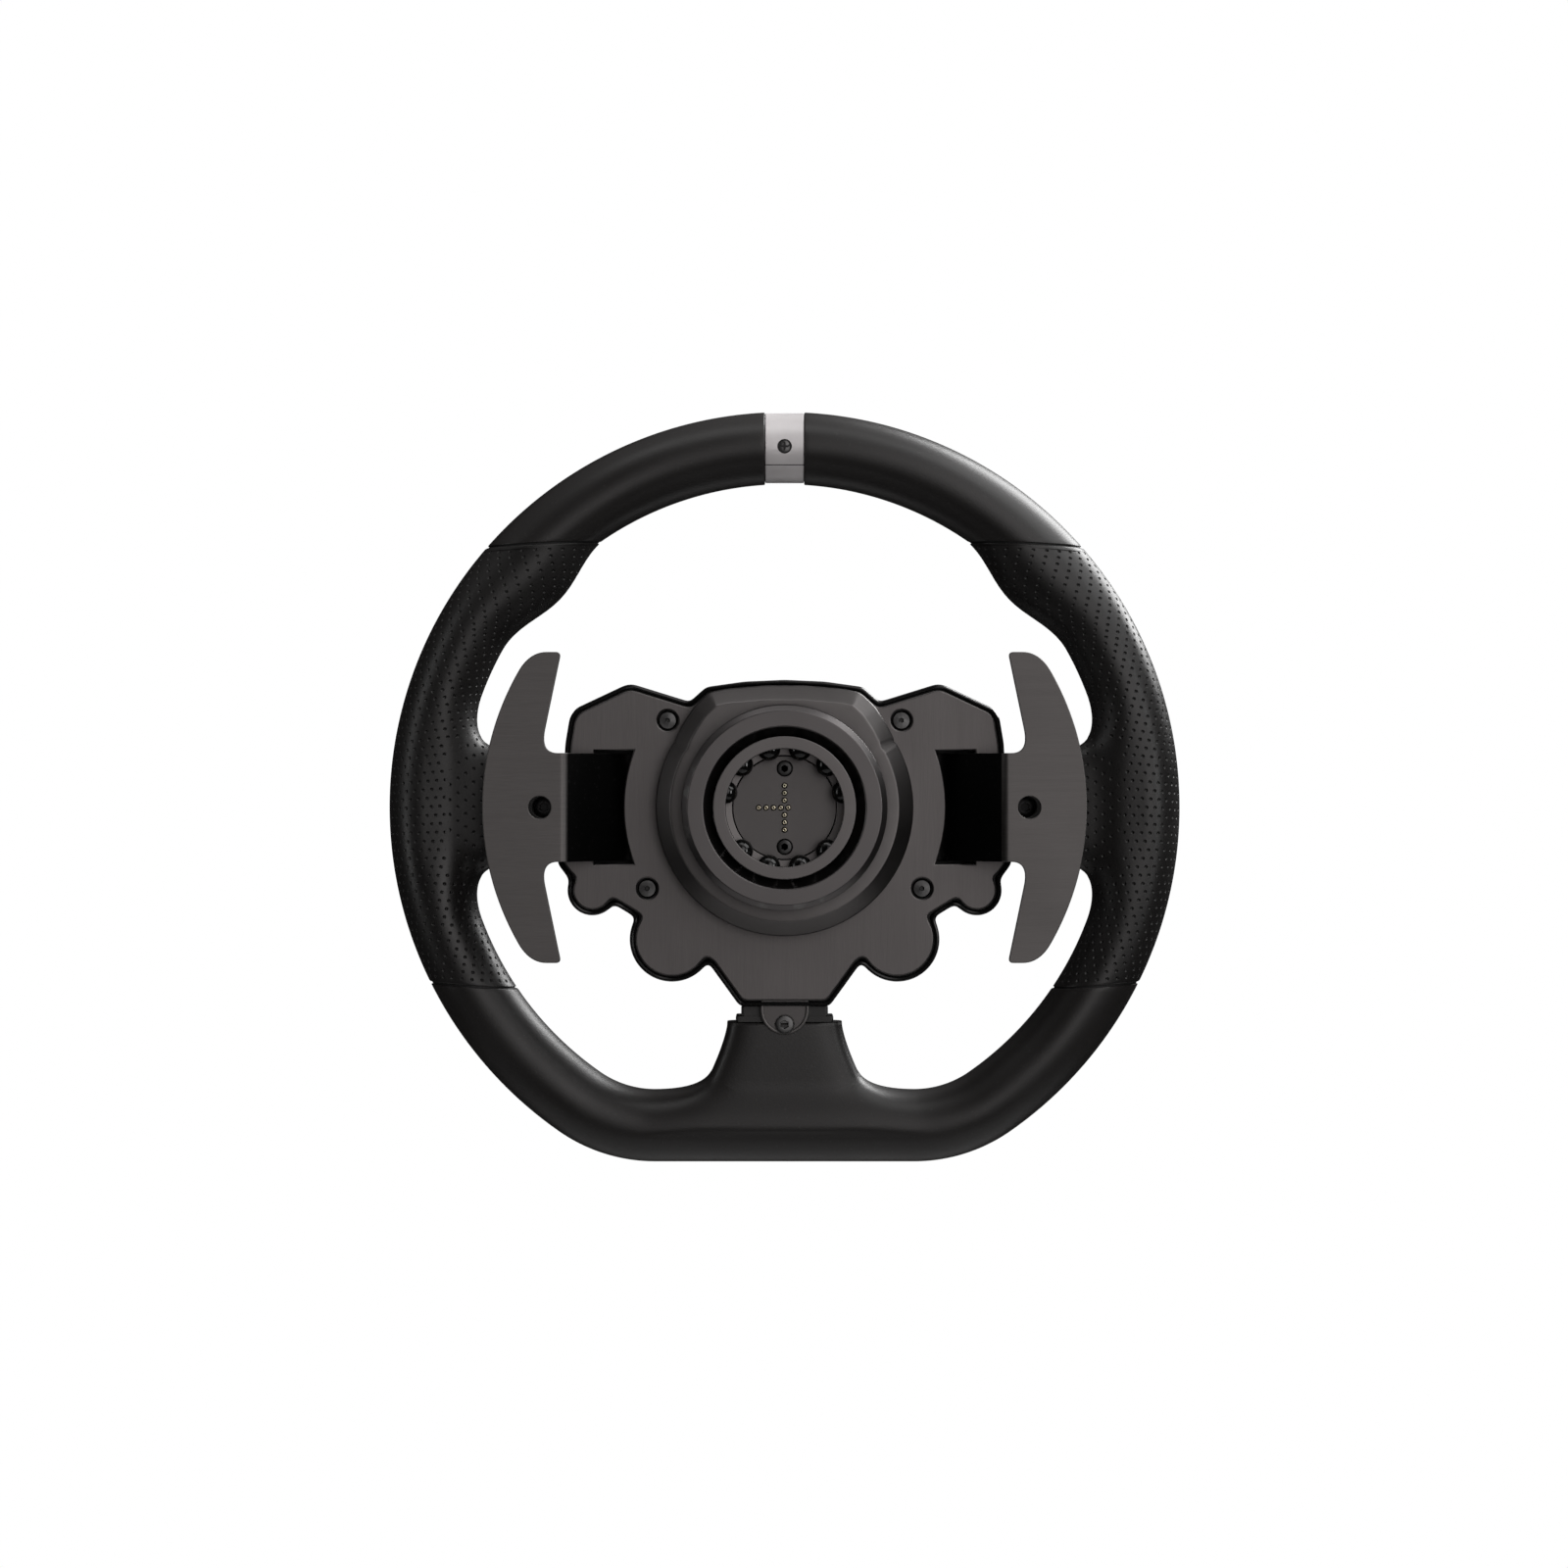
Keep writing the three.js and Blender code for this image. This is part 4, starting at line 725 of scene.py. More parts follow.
def welded(points, faces, digits=4):
    """Joins points that fall in the same place."""
    found = {}
    moved = []
    for p in points:
        moved.append(found.setdefault(tuple(round(c, digits) for c in p), len(found)))
    kept = list(found)
    made = []
    for face in faces:
        corners = list(dict.fromkeys(moved[i] for i in face))
        if len(corners) > 2:
            made.append(tuple(corners))
    return kept, made


def merged(*parts):
    """Several skins as one."""
    points = []
    faces = []
    for more_points, more_faces in parts:
        start = len(points)
        points += list(more_points)
        faces += [tuple(i + start for i in face) for face in more_faces]
    return points, faces


def flipped(points):
    return [(-x, y, z) for x, y, z in points]


def clock_point(clock, radius):
    turn = math.radians(clock)
    return np.array((radius * math.sin(turn), radius * math.cos(turn)))


# ---- Fields: distances from smooth shapes, used to blend the grips into the spokes ----

def rim_offset(p):
    """How far points lie outside the rim's centre line: a circle, two corners and a flat."""
    x = np.abs(p[:, 0])
    z = p[:, 2]
    round_part = np.hypot(x, z) - RIM_CENTRE
    corner = np.hypot(x - CORNER_X, z - CORNER_Z) - CORNER_CENTRE
    flat = -z - FLAT_CENTRE
    clock = np.degrees(np.arctan2(x - CORNER_X, z - CORNER_Z))
    in_corner = (x > CORNER_X) & (clock > CORNER_CLOCK)
    return np.where((x <= CORNER_X) & (z < CORNER_Z), flat, np.where(in_corner, corner, round_part))


def thumb_swell(clock):
    off = (clock - THUMB_CLOCK) / THUMB_SPAN
    return np.where(np.abs(off) < 1, THUMB_REACH * np.cos(off * math.pi / 2) ** 2, 0.0)


def grip_field(p, swollen=False):
    clock = np.degrees(np.arctan2(np.abs(p[:, 0]), p[:, 2]))
    swell = thumb_swell(clock) if swollen else 0.0
    half = RIM_WIDTH / 2 + swell / 2
    across = (rim_offset(p) + swell / 2) / half
    return (np.sqrt(across**2 + ((p[:, 1] - RIM_Y) / (RIM_DEPTH / 2)) ** 2) - 1) * (RIM_WIDTH / 2)


def oval(a, b, power):
    return (np.abs(a) ** power + np.abs(b) ** power) ** (1 / power)


def oval_reach(turn, power):
    """How far a squared-off oval of unit size reaches at a turn."""
    return 1 / (abs(math.cos(turn)) ** power + abs(math.sin(turn)) ** power) ** (1 / power)


def stub_size(x):
    """Half the stub's height and half its depth, at a distance from the wheel's middle."""
    along = np.clip((x - STUB_START) / STUB_RUN, 0, 1.3)
    return STUB_HALF + STUB_FLARE * along**2.2, (STUB_DEPTH + STUB_SWELL * along) / 2


def stub_field(p):
    """The stub round a side spoke, which widens towards the rim and sinks into it."""
    x = np.abs(p[:, 0])
    height, depth = stub_size(x)
    side = (oval(p[:, 2] / height, (p[:, 1] - RIM_Y) / depth, STUB_POWER) - 1) * depth
    return np.maximum(side, STUB_START - x) + 0.06 * np.maximum(x - STUB_SINK_START, 0) ** 2


def fairing_half(z):
    """Half the fairing's width at a height."""
    along = np.clip((-z - FAIRING_TOP) / FAIRING_RUN, 0, 1.2)
    return FAIRING_HALF + FAIRING_FLARE * along**1.4


def fairing_field(p):
    """The fairing over the bottom spoke, which widens towards the flat of the rim."""
    across = oval(p[:, 0] / fairing_half(p[:, 2]), (p[:, 1] - RIM_Y) / FAIRING_DEPTH, FAIRING_POWER)
    ends = np.maximum(p[:, 2] + FAIRING_TOP, (-p[:, 2] - FAIRING_FOOT) * 1.4)
    return np.maximum((across - 1) * FAIRING_DEPTH, ends)


def soft_union(a, b, reach):
    h = np.maximum(reach - np.abs(a - b), 0) / reach
    return np.minimum(a, b) - h * h * reach / 4


def grip_swollen_field(p):
    return grip_field(p, True)


def handle_field(p):
    return soft_union(grip_field(p, True), stub_field(p), 8.0)


def bottom_field(p):
    return soft_union(grip_field(p), fairing_field(p), 7.0)


def gradient(field, p, step=0.05):
    made = np.zeros_like(p)
    for axis in range(3):
        shift = np.zeros(3)
        shift[axis] = step
        made[:, axis] = (field(p + shift) - field(p - shift)) / (2 * step)
    return made


def on_field(field, p, level=0.0, rounds=7):
    """Points moved onto a field's surface, and the directions that face out of it."""
    p = np.array(p, float)
    for _ in range(rounds):
        slope = gradient(field, p)
        size = np.maximum((slope**2).sum(1), 0.05)
        p = p - ((field(p) - level) / size)[:, None] * slope
    slope = gradient(field, p)
    return p, slope / np.maximum(np.linalg.norm(slope, axis=1), 1e-6)[:, None]


# ---- Grips ----

def grip_point(inner, outer, turn, inset=0.0, depth=RIM_DEPTH):
    """A point round the oval section between a point inside the rim and one outside."""
    middle = (inner + outer) / 2
    half = (outer - inner) / 2
    scale = 1 - inset / np.linalg.norm(half)
    place = middle + half * math.cos(turn) * scale
    return (place[0], RIM_Y + (depth / 2 - inset) * math.sin(turn), place[1])


def joint_moved(joint, distance):
    turn = math.degrees(distance / RIM_CENTRE)
    return (joint[0] + turn, joint[1] + turn)


def arc_stations(start, end, steps, swollen=False):
    made = []
    for i in range(steps + 1):
        t = i / steps
        inner = start[0] + (end[0] - start[0]) * t
        outer = start[1] + (end[1] - start[1]) * t
        swell = float(thumb_swell(np.array(inner))) if swollen else 0.0
        made.append((clock_point(inner, RIM_INNER - swell), clock_point(outer, RIM_RADIUS)))
    return made


def with_round_ends(stations, sides, step=0.28):
    """Section loops along a grip, with closed ends whose edges are rounded."""
    along = np.linalg.norm((stations[1][0] + stations[1][1] - stations[0][0] - stations[0][1]) / 2)

    def end(here, ahead):
        made = []
        for inset, share in ((3.0, 0.0), (0.55, 0.0), (0.16, 0.12), (0.0, 0.45)):
            t = share * step * 3 / along
            inner = here[0] + (ahead[0] - here[0]) * t
            outer = here[1] + (ahead[1] - here[1]) * t
            made.append((inner, outer, inset))
        return made

    middle = [(inner, outer, 0.0) for inner, outer in stations[1:-1]]
    placed = end(stations[0], stations[1]) + middle + end(stations[-1], stations[-2])[::-1]
    return [
        [grip_point(inner, outer, TURN * j / sides, inset) for j in range(sides)]
        for inner, outer, inset in placed
    ]


def top_grips():
    side = MARKER_HALF + MARKER_GAP
    start = (
        math.degrees(math.asin(side / RIM_INNER)),
        math.degrees(math.asin(side / RIM_RADIUS)),
    )
    stations = arc_stations(start, joint_moved(UPPER_JOINT, -GROOVE / 2), 44)
    points, faces = rings(with_round_ends(stations, 64), True, True)
    for name, sign in SIDES.items():
        placed = points if sign > 0 else flipped(points)
        piece(f"grip_top_{name}", placed, faces, "smooth_grip", smooth=50, stands_for=[f"top_grip_{name}"])


def pitted_skin(place, columns, cells):
    """A skin of staggered cells, each with a small pit. place gives the point at u along and v round."""
    points = []
    role = []
    toward = []
    faces = []
    index = {}

    def corner(i, j):
        key = (i, j % (2 * cells))
        if key not in index:
            index[key] = len(points)
            points.append(place(i / (2 * columns), (j % (2 * cells)) / (2 * cells)))
            role.append(0)
            toward.append((0.0, 0.0, 0.0))
        return index[key]

    for i in range(columns):
        for j in range(cells):
            middle = 2 * j + 1 + (i % 2)
            low = 2 * i
            around = [
                (low, middle - 1), (low, middle), (low, middle + 1), (low + 1, middle + 1),
                (low + 2, middle + 1), (low + 2, middle), (low + 2, middle - 1), (low + 1, middle - 1),
            ]
            outer = [corner(a, b) for a, b in around]
            centre = np.array(place((low + 1) / (2 * columns), (middle % (2 * cells)) / (2 * cells)))
            rims = []
            for kind, radius in PIT_RINGS:
                ring = []
                for k in outer:
                    way = np.array(points[k]) - centre
                    way /= max(np.linalg.norm(way), 1e-6)
                    ring.append(len(points))
                    points.append(tuple(centre + way * radius))
                    role.append(kind)
                    toward.append(tuple(-way))
                rims.append(ring)
            hub = len(points)
            points.append(tuple(centre))
            role.append(4)
            toward.append((0.0, 0.0, 0.0))
            for a in range(8):
                b = (a + 1) % 8
                faces.append((outer[a], outer[b], rims[0][b], rims[0][a]))
                for wide, narrow in zip(rims, rims[1:]):
                    faces.append((wide[a], wide[b], narrow[b], narrow[a]))
                faces.append((rims[-1][a], rims[-1][b], hub))
    return np.array(points), np.array(role), np.array(toward), faces


def leather_on(skin, other_field, level):
    """A pitted skin laid on the handle's blended surface, less the cells inside the other shape."""
    points, role, toward, faces = skin
    inside = other_field(points)
    placed, outward = on_field(handle_field, points, level)
    depth = np.choose(role, PIT_DEPTHS)
    lean = np.choose(role, PIT_LEANS)
    placed = placed - outward * depth[:, None]
    normals = outward + toward * lean[:, None]
    normals /= np.linalg.norm(normals, axis=1)[:, None]
    kept = [face for face in faces if max(inside[list(face)]) > -0.8]
    used = sorted({i for face in kept for i in face})
    renumber = {old: new for new, old in enumerate(used)}
    kept = [tuple(renumber[i] for i in face) for face in kept]
    return placed[used], normals[used], role[used], kept


def handle_leather():
    start = joint_moved(UPPER_JOINT, GROOVE / 2)
    end = joint_moved(LOWER_JOINT, -GROOVE / 2)
    fine = 360
    stations = arc_stations(start, end, fine, True)
    edge = 0.006

    def place(u, v):
        at = (edge + (1 - 2 * edge) * u) * fine
        low = min(int(at), fine - 1)
        t = at - low
        inner = stations[low][0] * (1 - t) + stations[low + 1][0] * t
        outer = stations[low][1] * (1 - t) + stations[low + 1][1] * t
        return grip_point(inner, outer, TURN * v)

    return leather_on(pitted_skin(place, HANDLE_COLUMNS, HANDLE_CELLS), stub_field, 0.0)


def stub_leather():
    def place(u, v):
        x = STUB_START + STUB_LEATHER_RUN * u
        height, depth = stub_size(x)
        turn = TURN * v
        reach = oval_reach(turn, STUB_POWER)
        return (x, RIM_Y + depth * math.cos(turn) * reach, height * math.sin(turn) * reach)

    skin = pitted_skin(place, STUB_COLUMNS, STUB_CELLS)
    points, normals, role, faces = leather_on(skin, grip_swollen_field, -0.05)
    away = np.hypot(points[:, 0] - PADDLE_HOLE[0], points[:, 2])
    over_bore = (away < EYELET_RADIUS - 1.0) & (points[:, 1] < RIM_Y)
    return points, normals, role, [face for face in faces if not over_bore[list(face)].any()]


def eyelets():
    """The lined bores in the handles that lead to the spoke bolts."""
    profile = [
        (3.75, 54.8), (3.75, 49.5), (4.1, 49.1), (EYELET_RADIUS - 0.3, 49.1), (EYELET_RADIUS, 49.3),
        (EYELET_RADIUS, 50.2),
    ]
    for name, sign in SIDES.items():
        lathe_piece(
            f"eyelet_{name}", profile, "matte_black", sign * PADDLE_HOLE[0], sides=64, radius=0.15,
            slot="perforated_leather",
        )


def grip_end(joint, distance, towards):
    """The closed end of a handle, with a rounded edge."""
    here = joint_moved(joint, distance)
    loops = []
    for inset, back in ((9.0, 0.0), (0.5, 0.0), (0.15, 0.12), (0.0, 0.5), (0.02, 1.6)):
        clocks = joint_moved(here, back * towards)
        swell = float(thumb_swell(np.array(clocks[0])))
        inner = clock_point(clocks[0], RIM_INNER - swell)
        outer = clock_point(clocks[1], RIM_RADIUS)
        loops.append([grip_point(inner, outer, TURN * j / 96, inset) for j in range(96)])
    return rings(loops, True)


def handles():
    ends = merged(grip_end(UPPER_JOINT, GROOVE / 2, 1), grip_end(LOWER_JOINT, -GROOVE / 2, -1))
    skins = {"leather": handle_leather(), "root": stub_leather()}
    for name, sign in SIDES.items():
        flip = np.array((sign, 1, 1))
        for label, (points, normals, role, faces) in skins.items():
            stands = [f"handle_{name}"] if label == "leather" else []
            made = piece(
                f"handle_{label}_{name}", points * flip, faces, "perforated_leather",
                normals=normals * flip, stands_for=stands,
            )
            # Painted shade for the pits, kept on each point for the leather's colour.
            pits = made.data.attributes.new("pit_painted_shade", "FLOAT", "POINT")
            pits.data.foreach_set("value", np.choose(role, PIT_PAINTED_SHADE).astype(np.float32))
        brim = [
            grip_root_end(STUB_START, 1.0), grip_root_end(STUB_START - 0.2, 0.97),
            grip_root_end(STUB_START - 0.2, 0.7),
        ]
        points, faces = rings([[(sign * x, y, z) for x, y, z in loop] for loop in brim], False, True)
        piece(f"handle_root_end_{name}", points, faces, "matte_black", slot="perforated_leather", smooth=30)
        end_points = [tuple(np.array(p) * flip) for p in ends[0]]
        piece(f"handle_ends_{name}", end_points, ends[1], "perforated_leather", smooth=50)


def grip_root_end(x, scale):
    """A loop round the stub's open end."""
    loop = []
    for j in range(96):
        turn = TURN * j / 96
        size = scale * oval_reach(turn, STUB_POWER)
        y = RIM_Y + STUB_DEPTH / 2 * math.cos(turn) * size
        loop.append((x, y, STUB_HALF * math.sin(turn) * size))
    return loop


def bottom_stations():
    start = joint_moved(LOWER_JOINT, GROOVE / 2)
    half = arc_stations(start, (CORNER_CLOCK, CORNER_CLOCK), 26)
    for i in range(1, 27):
        clock = CORNER_CLOCK + (180 - CORNER_CLOCK) * i / 26
        corner = np.array((CORNER_X, CORNER_Z))
        outer = CORNER_CENTRE + RIM_WIDTH / 2
        half.append((corner + clock_point(clock, outer - RIM_WIDTH), corner + clock_point(clock, outer)))
    for i in range(1, 25):
        x = CORNER_X * (1 - i / 24)
        inner = np.array((x, -FLAT_CENTRE + RIM_WIDTH / 2))
        half.append((inner, inner - np.array((0, RIM_WIDTH))))
    flip = np.array((-1, 1))
    return half + [(inner * flip, outer * flip) for inner, outer in half[-2::-1]]


def bottom_grip():
    loops = with_round_ends(bottom_stations(), 64)
    tube = np.array([p for loop in loops for p in loop])
    inside = fairing_field(tube)
    near = inside < 12
    placed = tube.copy()
    placed[near], _ = on_field(bottom_field, tube[near])
    _, normals = on_field(bottom_field, placed, rounds=0)
    faces = [f for f in grid_faces(len(loops), 64) if max(inside[list(f)]) > -4.0]
    count = (len(loops) - 1) * 64
    faces += [tuple(range(64)), tuple(range(count, count + 64))]
    ends = set(range(2 * 64)) | set(range(len(tube) - 2 * 64, len(tube)))
    made = piece("grip_bottom", placed, faces, "smooth_grip", smooth=50, stands_for=["bottom_grip"])
    smooth_faces = [tuple(n) for n in normals]
    own = [tuple(v.normal) for v in made.data.vertices]
    made.data.normals_split_custom_set_from_vertices([
        own[i] if i in ends else smooth_faces[i] for i in range(len(smooth_faces))
    ])
    fairing_skin()


def fairing_skin():
    rows = 34
    sides = 128
    loops = []
    for i in range(rows):
        z = -FAIRING_TOP - (FAIRING_FOOT - FAIRING_TOP) * (i / (rows - 1))
        half = fairing_half(z)
        loop = []
        for j in range(sides):
            turn = TURN * j / sides
            reach = oval_reach(turn, FAIRING_POWER)
            y = RIM_Y + FAIRING_DEPTH * math.sin(turn) * reach
            loop.append((half * math.cos(turn) * reach, y, z))
        loops.append(loop)
    base = np.array([p for loop in loops for p in loop])
    placed, outward = on_field(bottom_field, base, -0.05)
    top = base[:, 2] > -FAIRING_TOP - 0.6
    placed[top] = base[top]
    piece("fairing", placed, grid_faces(rows, sides), "smooth_grip", smooth=0, normals=outward)
    edge = [tuple(p) for p in base[:sides]]
    bevel = [(x * 0.985, RIM_Y + (y - RIM_Y) * 0.97, z) for x, y, z in edge]
    floor = [(x * 0.9, RIM_Y + (y - RIM_Y) * 0.8, z - 0.02) for x, y, z in edge]
    points, faces = rings([edge, bevel, floor], False, True)
    piece("fairing_top", points, faces, "smooth_grip", smooth=30)


def joint_spacers():
    """The core that shows in the grooves between the grips, painted darker than its own matte black as
    shade in the grooves.
    """
    for label, joint in (("upper", UPPER_JOINT), ("lower", LOWER_JOINT)):
        loops = []
        for distance in (-0.7, 0.7):
            clocks = joint_moved(joint, distance)
            inner = clock_point(clocks[0], RIM_INNER - float(thumb_swell(np.array(clocks[0]))))
            outer = clock_point(clocks[1], RIM_RADIUS)
            loops.append([grip_point(inner, outer, TURN * j / 64, 0.75) for j in range(64)])
        points, faces = rings(loops, True, True)
        for name, sign in SIDES.items():
            placed = points if sign > 0 else flipped(points)
            # Painted shade: the groove core is near black, though it is matte black.
            piece(f"groove_core_{label}_{name}", placed, faces, "deep_black", slot="matte_black")


def marker():
    """The silver band at 12 o'clock: an outer and an inner piece round a core painted darker than its own
    matte black, as shade in the seams.
    """
    middle = (MARKER_LOW + MARKER_HIGH) / 2
    reach = (MARKER_HIGH - MARKER_LOW) / 2

    def oval_point(turn, inset):
        y = RIM_Y + (MARKER_HALF_DEPTH - inset) * math.sin(turn)
        return y, middle + (reach - inset) * math.cos(turn)

    steps = 40
    edge = MARKER_HALF - MARKER_EDGE
    sections = ((-MARKER_HALF, MARKER_EDGE), (-edge, 0.0), (edge, 0.0), (MARKER_HALF, MARKER_EDGE))
    for label, side in (("outer", 1), ("inner", -1)):
        seam = MARKER_SPLIT + side * MARKER_SEAM
        limit = math.acos((seam - middle) / reach)
        first, last = (-limit, limit) if label == "outer" else (limit, TURN - limit)
        loops = []
        for x, inset in sections:
            loop = []
            for i in range(steps + 1):
                y, z = oval_point(first + (last - first) * i / steps, inset)
                stop = seam + side * inset * 0.6
                loop.append((x, y, max(z, stop) if label == "outer" else min(z, stop)))
            loops.append(loop)
        points, faces = rings(loops, True, True)
        name = f"marker_{label}_band"
        made = piece(name, points, faces, "silver", smooth=35, stands_for=[f"marker_{label}"])
        if label == "outer":
            rear = RIM_Y - RIM_DEPTH / 2
            carved(made, [rod(2.55, rear - 2, rear + 4.2, 0, MARKER_SCREW_Z, 48)], 35)
    core = []
    for side in (-1, 1):
        x = side * (MARKER_HALF + MARKER_CORE_REACH)
        core.append([(x, *oval_point(TURN * j / 48, MARKER_CORE_INSET)) for j in range(48)])
    points, faces = rings(core, True, True)
    # Painted shade: the core is near black, though it is matte black.
    piece("marker_core", points, faces, "deep_black", slot="matte_black")


# ---- Screws ----

def recess_radius(turn, kind, size):
    """The outline of a hexagon socket or of a cross recess, as a radius at a turn."""
    if kind == "hex":
        sector = TURN / 6
        off = (turn % sector) - sector / 2
        return size * math.cos(sector / 2) / math.cos(off)
    off = abs(((turn + TURN / 8) % (TURN / 4)) - TURN / 8)
    arm = size * 0.2
    return min(size, arm / max(math.sin(off), 0.05)) if off < 0.9 else size * 0.3


def screw_head(
    name, node, radius, y, height, x, z, kind="hex", size=1.5, finish="black_screw", dome=0.35
):
    """A screw head towards -Y with a socket in it."""
    sides = 72
    turns = [TURN * i / sides for i in range(sides)]
    socket = [recess_radius(turn, kind, size) for turn in turns]

    def loop(level, radii):
        return [(x + r * math.sin(t), level, z + r * math.cos(t)) for t, r in zip(turns, radii)]

    skins = [
        loop(y + height, [radius] * sides),
        loop(y + dome + 0.25, [radius] * sides),
        loop(y + dome * 0.5, [radius - 0.15] * sides),
        loop(y + dome * 0.12, [radius - 0.5] * sides),
        loop(y, [r + 0.18 for r in socket]),
        loop(y + 0.16, socket),
        loop(y + min(height, 1.6), [r * 0.92 for r in socket]),
    ]
    points, faces = rings(skins, True, True)
    return piece(name, points, faces, finish, smooth=35, stands_for=[node], slot="black_screw")


# ---- Casing ----

def polygon_distance(x, z, corners):
    """The signed distance of a grid of points from a polygon, negative inside."""
    best = np.full(x.shape, 1e9)
    inside = np.zeros(x.shape, bool)
    for (ax, az), (bx, bz) in zip(corners, corners[1:] + corners[:1]):
        ex, ez = bx - ax, bz - az
        t = np.clip(((x - ax) * ex + (z - az) * ez) / (ex * ex + ez * ez), 0, 1)
        best = np.minimum(best, np.hypot(x - ax - t * ex, z - az - t * ez))
        crosses = ((az > z) != (bz > z)) & (x < ex * (z - az) / (ez if ez else 1e-9) + ax)
        inside ^= crosses
    return np.where(inside, -best, best)


def hub_distance(x, z):
    """The signed distance from the casing's plan, with its lobes and softened inner corners."""
    corners = HUB_HALF + [(-a, b) for a, b in HUB_HALF[-2::-1]]
    value = polygon_distance(x, z, corners)
    for cx, cz, radius in (LARGE_LOBE, SMALL_LOBE):
        value = soft_union(value, np.hypot(np.abs(x) - cx, z - cz) - radius, 1.6)
    return value


def contour(inset, step=0.5):
    """The casing's outline moved in by an inset, as the points where it crosses a fine grid."""
    xs = np.arange(-90, 90 + step, step)
    zs = np.arange(-80, 60 + step, step)
    gx, gz = np.meshgrid(xs, zs, indexing="ij")
    value = hub_distance(gx, gz) + inset
    links = {}

    def crossing(a, b):
        va, vb = value[a], value[b]
        t = va / (va - vb)
        return (xs[a[0]] + (xs[b[0]] - xs[a[0]]) * t, zs[a[1]] + (zs[b[1]] - zs[a[1]]) * t)

    corners = [value[:-1, :-1], value[1:, :-1], value[:-1, 1:], value[1:, 1:]]
    crossed = (np.minimum.reduce(corners) < 0) & (np.maximum.reduce(corners) >= 0)
    for i, j in np.argwhere(crossed):
        ring = [(i, j), (i + 1, j), (i + 1, j + 1), (i, j + 1)]
        hits = []
        for a, b in zip(ring, ring[1:] + ring[:1]):
            if (value[a] < 0) != (value[b] < 0):
                hits.append(tuple(sorted((a, b))))
        for a, b in zip(hits[::2], hits[1::2]):
            links.setdefault(a, []).append(b)
            links.setdefault(b, []).append(a)
    start = next(iter(links))
    path = [start]
    before = None
    here = start
    while True:
        ahead = [k for k in links[here] if k != before]
        before, here = here, ahead[0]
        if here == start:
            break
        path.append(here)
    return np.array([crossing(a, b) for a, b in path])


def even(loop, spacing):
    """A closed loop's points set at an even spacing, running counterclockwise."""
    loop = np.array(loop, float)
    area = np.sum(loop[:, 0] * np.roll(loop[:, 1], -1) - np.roll(loop[:, 0], -1) * loop[:, 1])
    if area < 0:
        loop = loop[::-1]
    closed = np.vstack((loop, loop[:1]))
    run = np.concatenate(([0], np.cumsum(np.linalg.norm(np.diff(closed, axis=0), axis=1))))
    count = max(8, int(run[-1] / spacing))
    at = np.linspace(0, run[-1], count, endpoint=False)
    return np.stack([np.interp(at, run, closed[:, k]) for k in (0, 1)], axis=1)


def relaxed(loop, rounds):
    for _ in range(rounds):
        loop = (np.roll(loop, 1, axis=0) + 2 * loop + np.roll(loop, -1, axis=0)) / 4
    return loop


def hub_loop(inset, spacing=0.8, soften=3):
    return relaxed(even(contour(inset), spacing), soften)


def moved_in(loop, distance):
    """A counterclockwise loop's points moved inwards, for small distances."""
    ahead = np.roll(loop, -1, axis=0) - np.roll(loop, 1, axis=0)
    ahead /= np.linalg.norm(ahead, axis=1)[:, None]
    return loop + np.stack((-ahead[:, 1], ahead[:, 0]), axis=1) * distance


def at_level(loop, y):
    return [(x, y, z) for x, z in loop]


def ring_of(radius, x=0.0, z=0.0, sides=72):
    turns = [TURN * i / sides for i in range(sides)]
    return [(x + radius * math.cos(turn), z + radius * math.sin(turn)) for turn in turns]


def slot_loop(sign, margin=0.0):
    """The opening for a paddle's root, closed inwards by an arc round the hub."""
    half = SLOT_HALF + margin
    arc = SLOT_ARC - margin
    limit = math.asin(half / arc)
    turns = [limit * (1 - i / 10) for i in range(21)]
    inner = [(arc * math.cos(turn), arc * math.sin(turn)) for turn in turns]
    outer = SLOT_OUTER + margin
    loop = inner + [(outer, -half), (outer, half)]
    return [(sign * x, z) for x, z in loop]


def casing():
    outline = hub_loop(0.0)
    recesses = [
        ring_of(RECESS_RADIUS + 0.05, sign * x, z, 48) for x, z in CASE_SCREWS.values() for sign in (1, -1)
    ]
    slots = [slot_loop(sign) for sign in (1, -1)]
    plate_piece(
        "rear_cover", [hub_loop(LIP + 0.95), ring_of(FLANGE_BORE, sides=128), *slots, *recesses],
        REAR_Y, REAR_Y + 2.5, 0.55, "brushed_graphite", smooth=30, stands_for=["rear_plate"],
    )
    bezel = []
    for inset, y in (
        (LIP + 0.5, 46.6), (LIP + 0.45, 45.2), (LIP + 0.2, 44.75), (LIP - 0.35, 44.5), (0.35, 44.6),
        (0.1, 44.95), (0.0, 45.5), (0.0, 57.6), (0.25, 57.9), (1.3, 57.9),
    ):
        bezel.append(at_level(moved_in(outline, inset), y))
    points, faces = rings(bezel)
    piece("bezel", points, faces, "gloss_black", smooth=35, stands_for=["rear_housing"])
    inner_recesses = [
        ring_of(1.8, sign * x, z, 24) for x, z in CASE_SCREWS.values() for sign in (1, -1)
    ]
    inner_slots = [slot_loop(sign, 0.2) for sign in (1, -1)]
    # Painted shade: the floor inside the casing is near black, though it is gloss black.
    plate_piece(
        "casing_floor", [hub_loop(LIP + 0.4), ring_of(FLANGE_BORE), *inner_slots, *inner_recesses],
        46.7, 49.0, 0.2, "deep_black", slot="gloss_black", smooth=30,
    )
    front_casing(outline)
    for side, (x, z) in CASE_SCREWS.items():
        for name, sign in SIDES.items():
            screw_head(
                f"case_bolt_{side}_{name}", f"case_screw_{side}_{name}", 3.35, 44.75, 2.0, sign * x, z,
                size=0.8, dome=1.3,
            )
    for name, sign in SIDES.items():
        slot_well(name, sign)


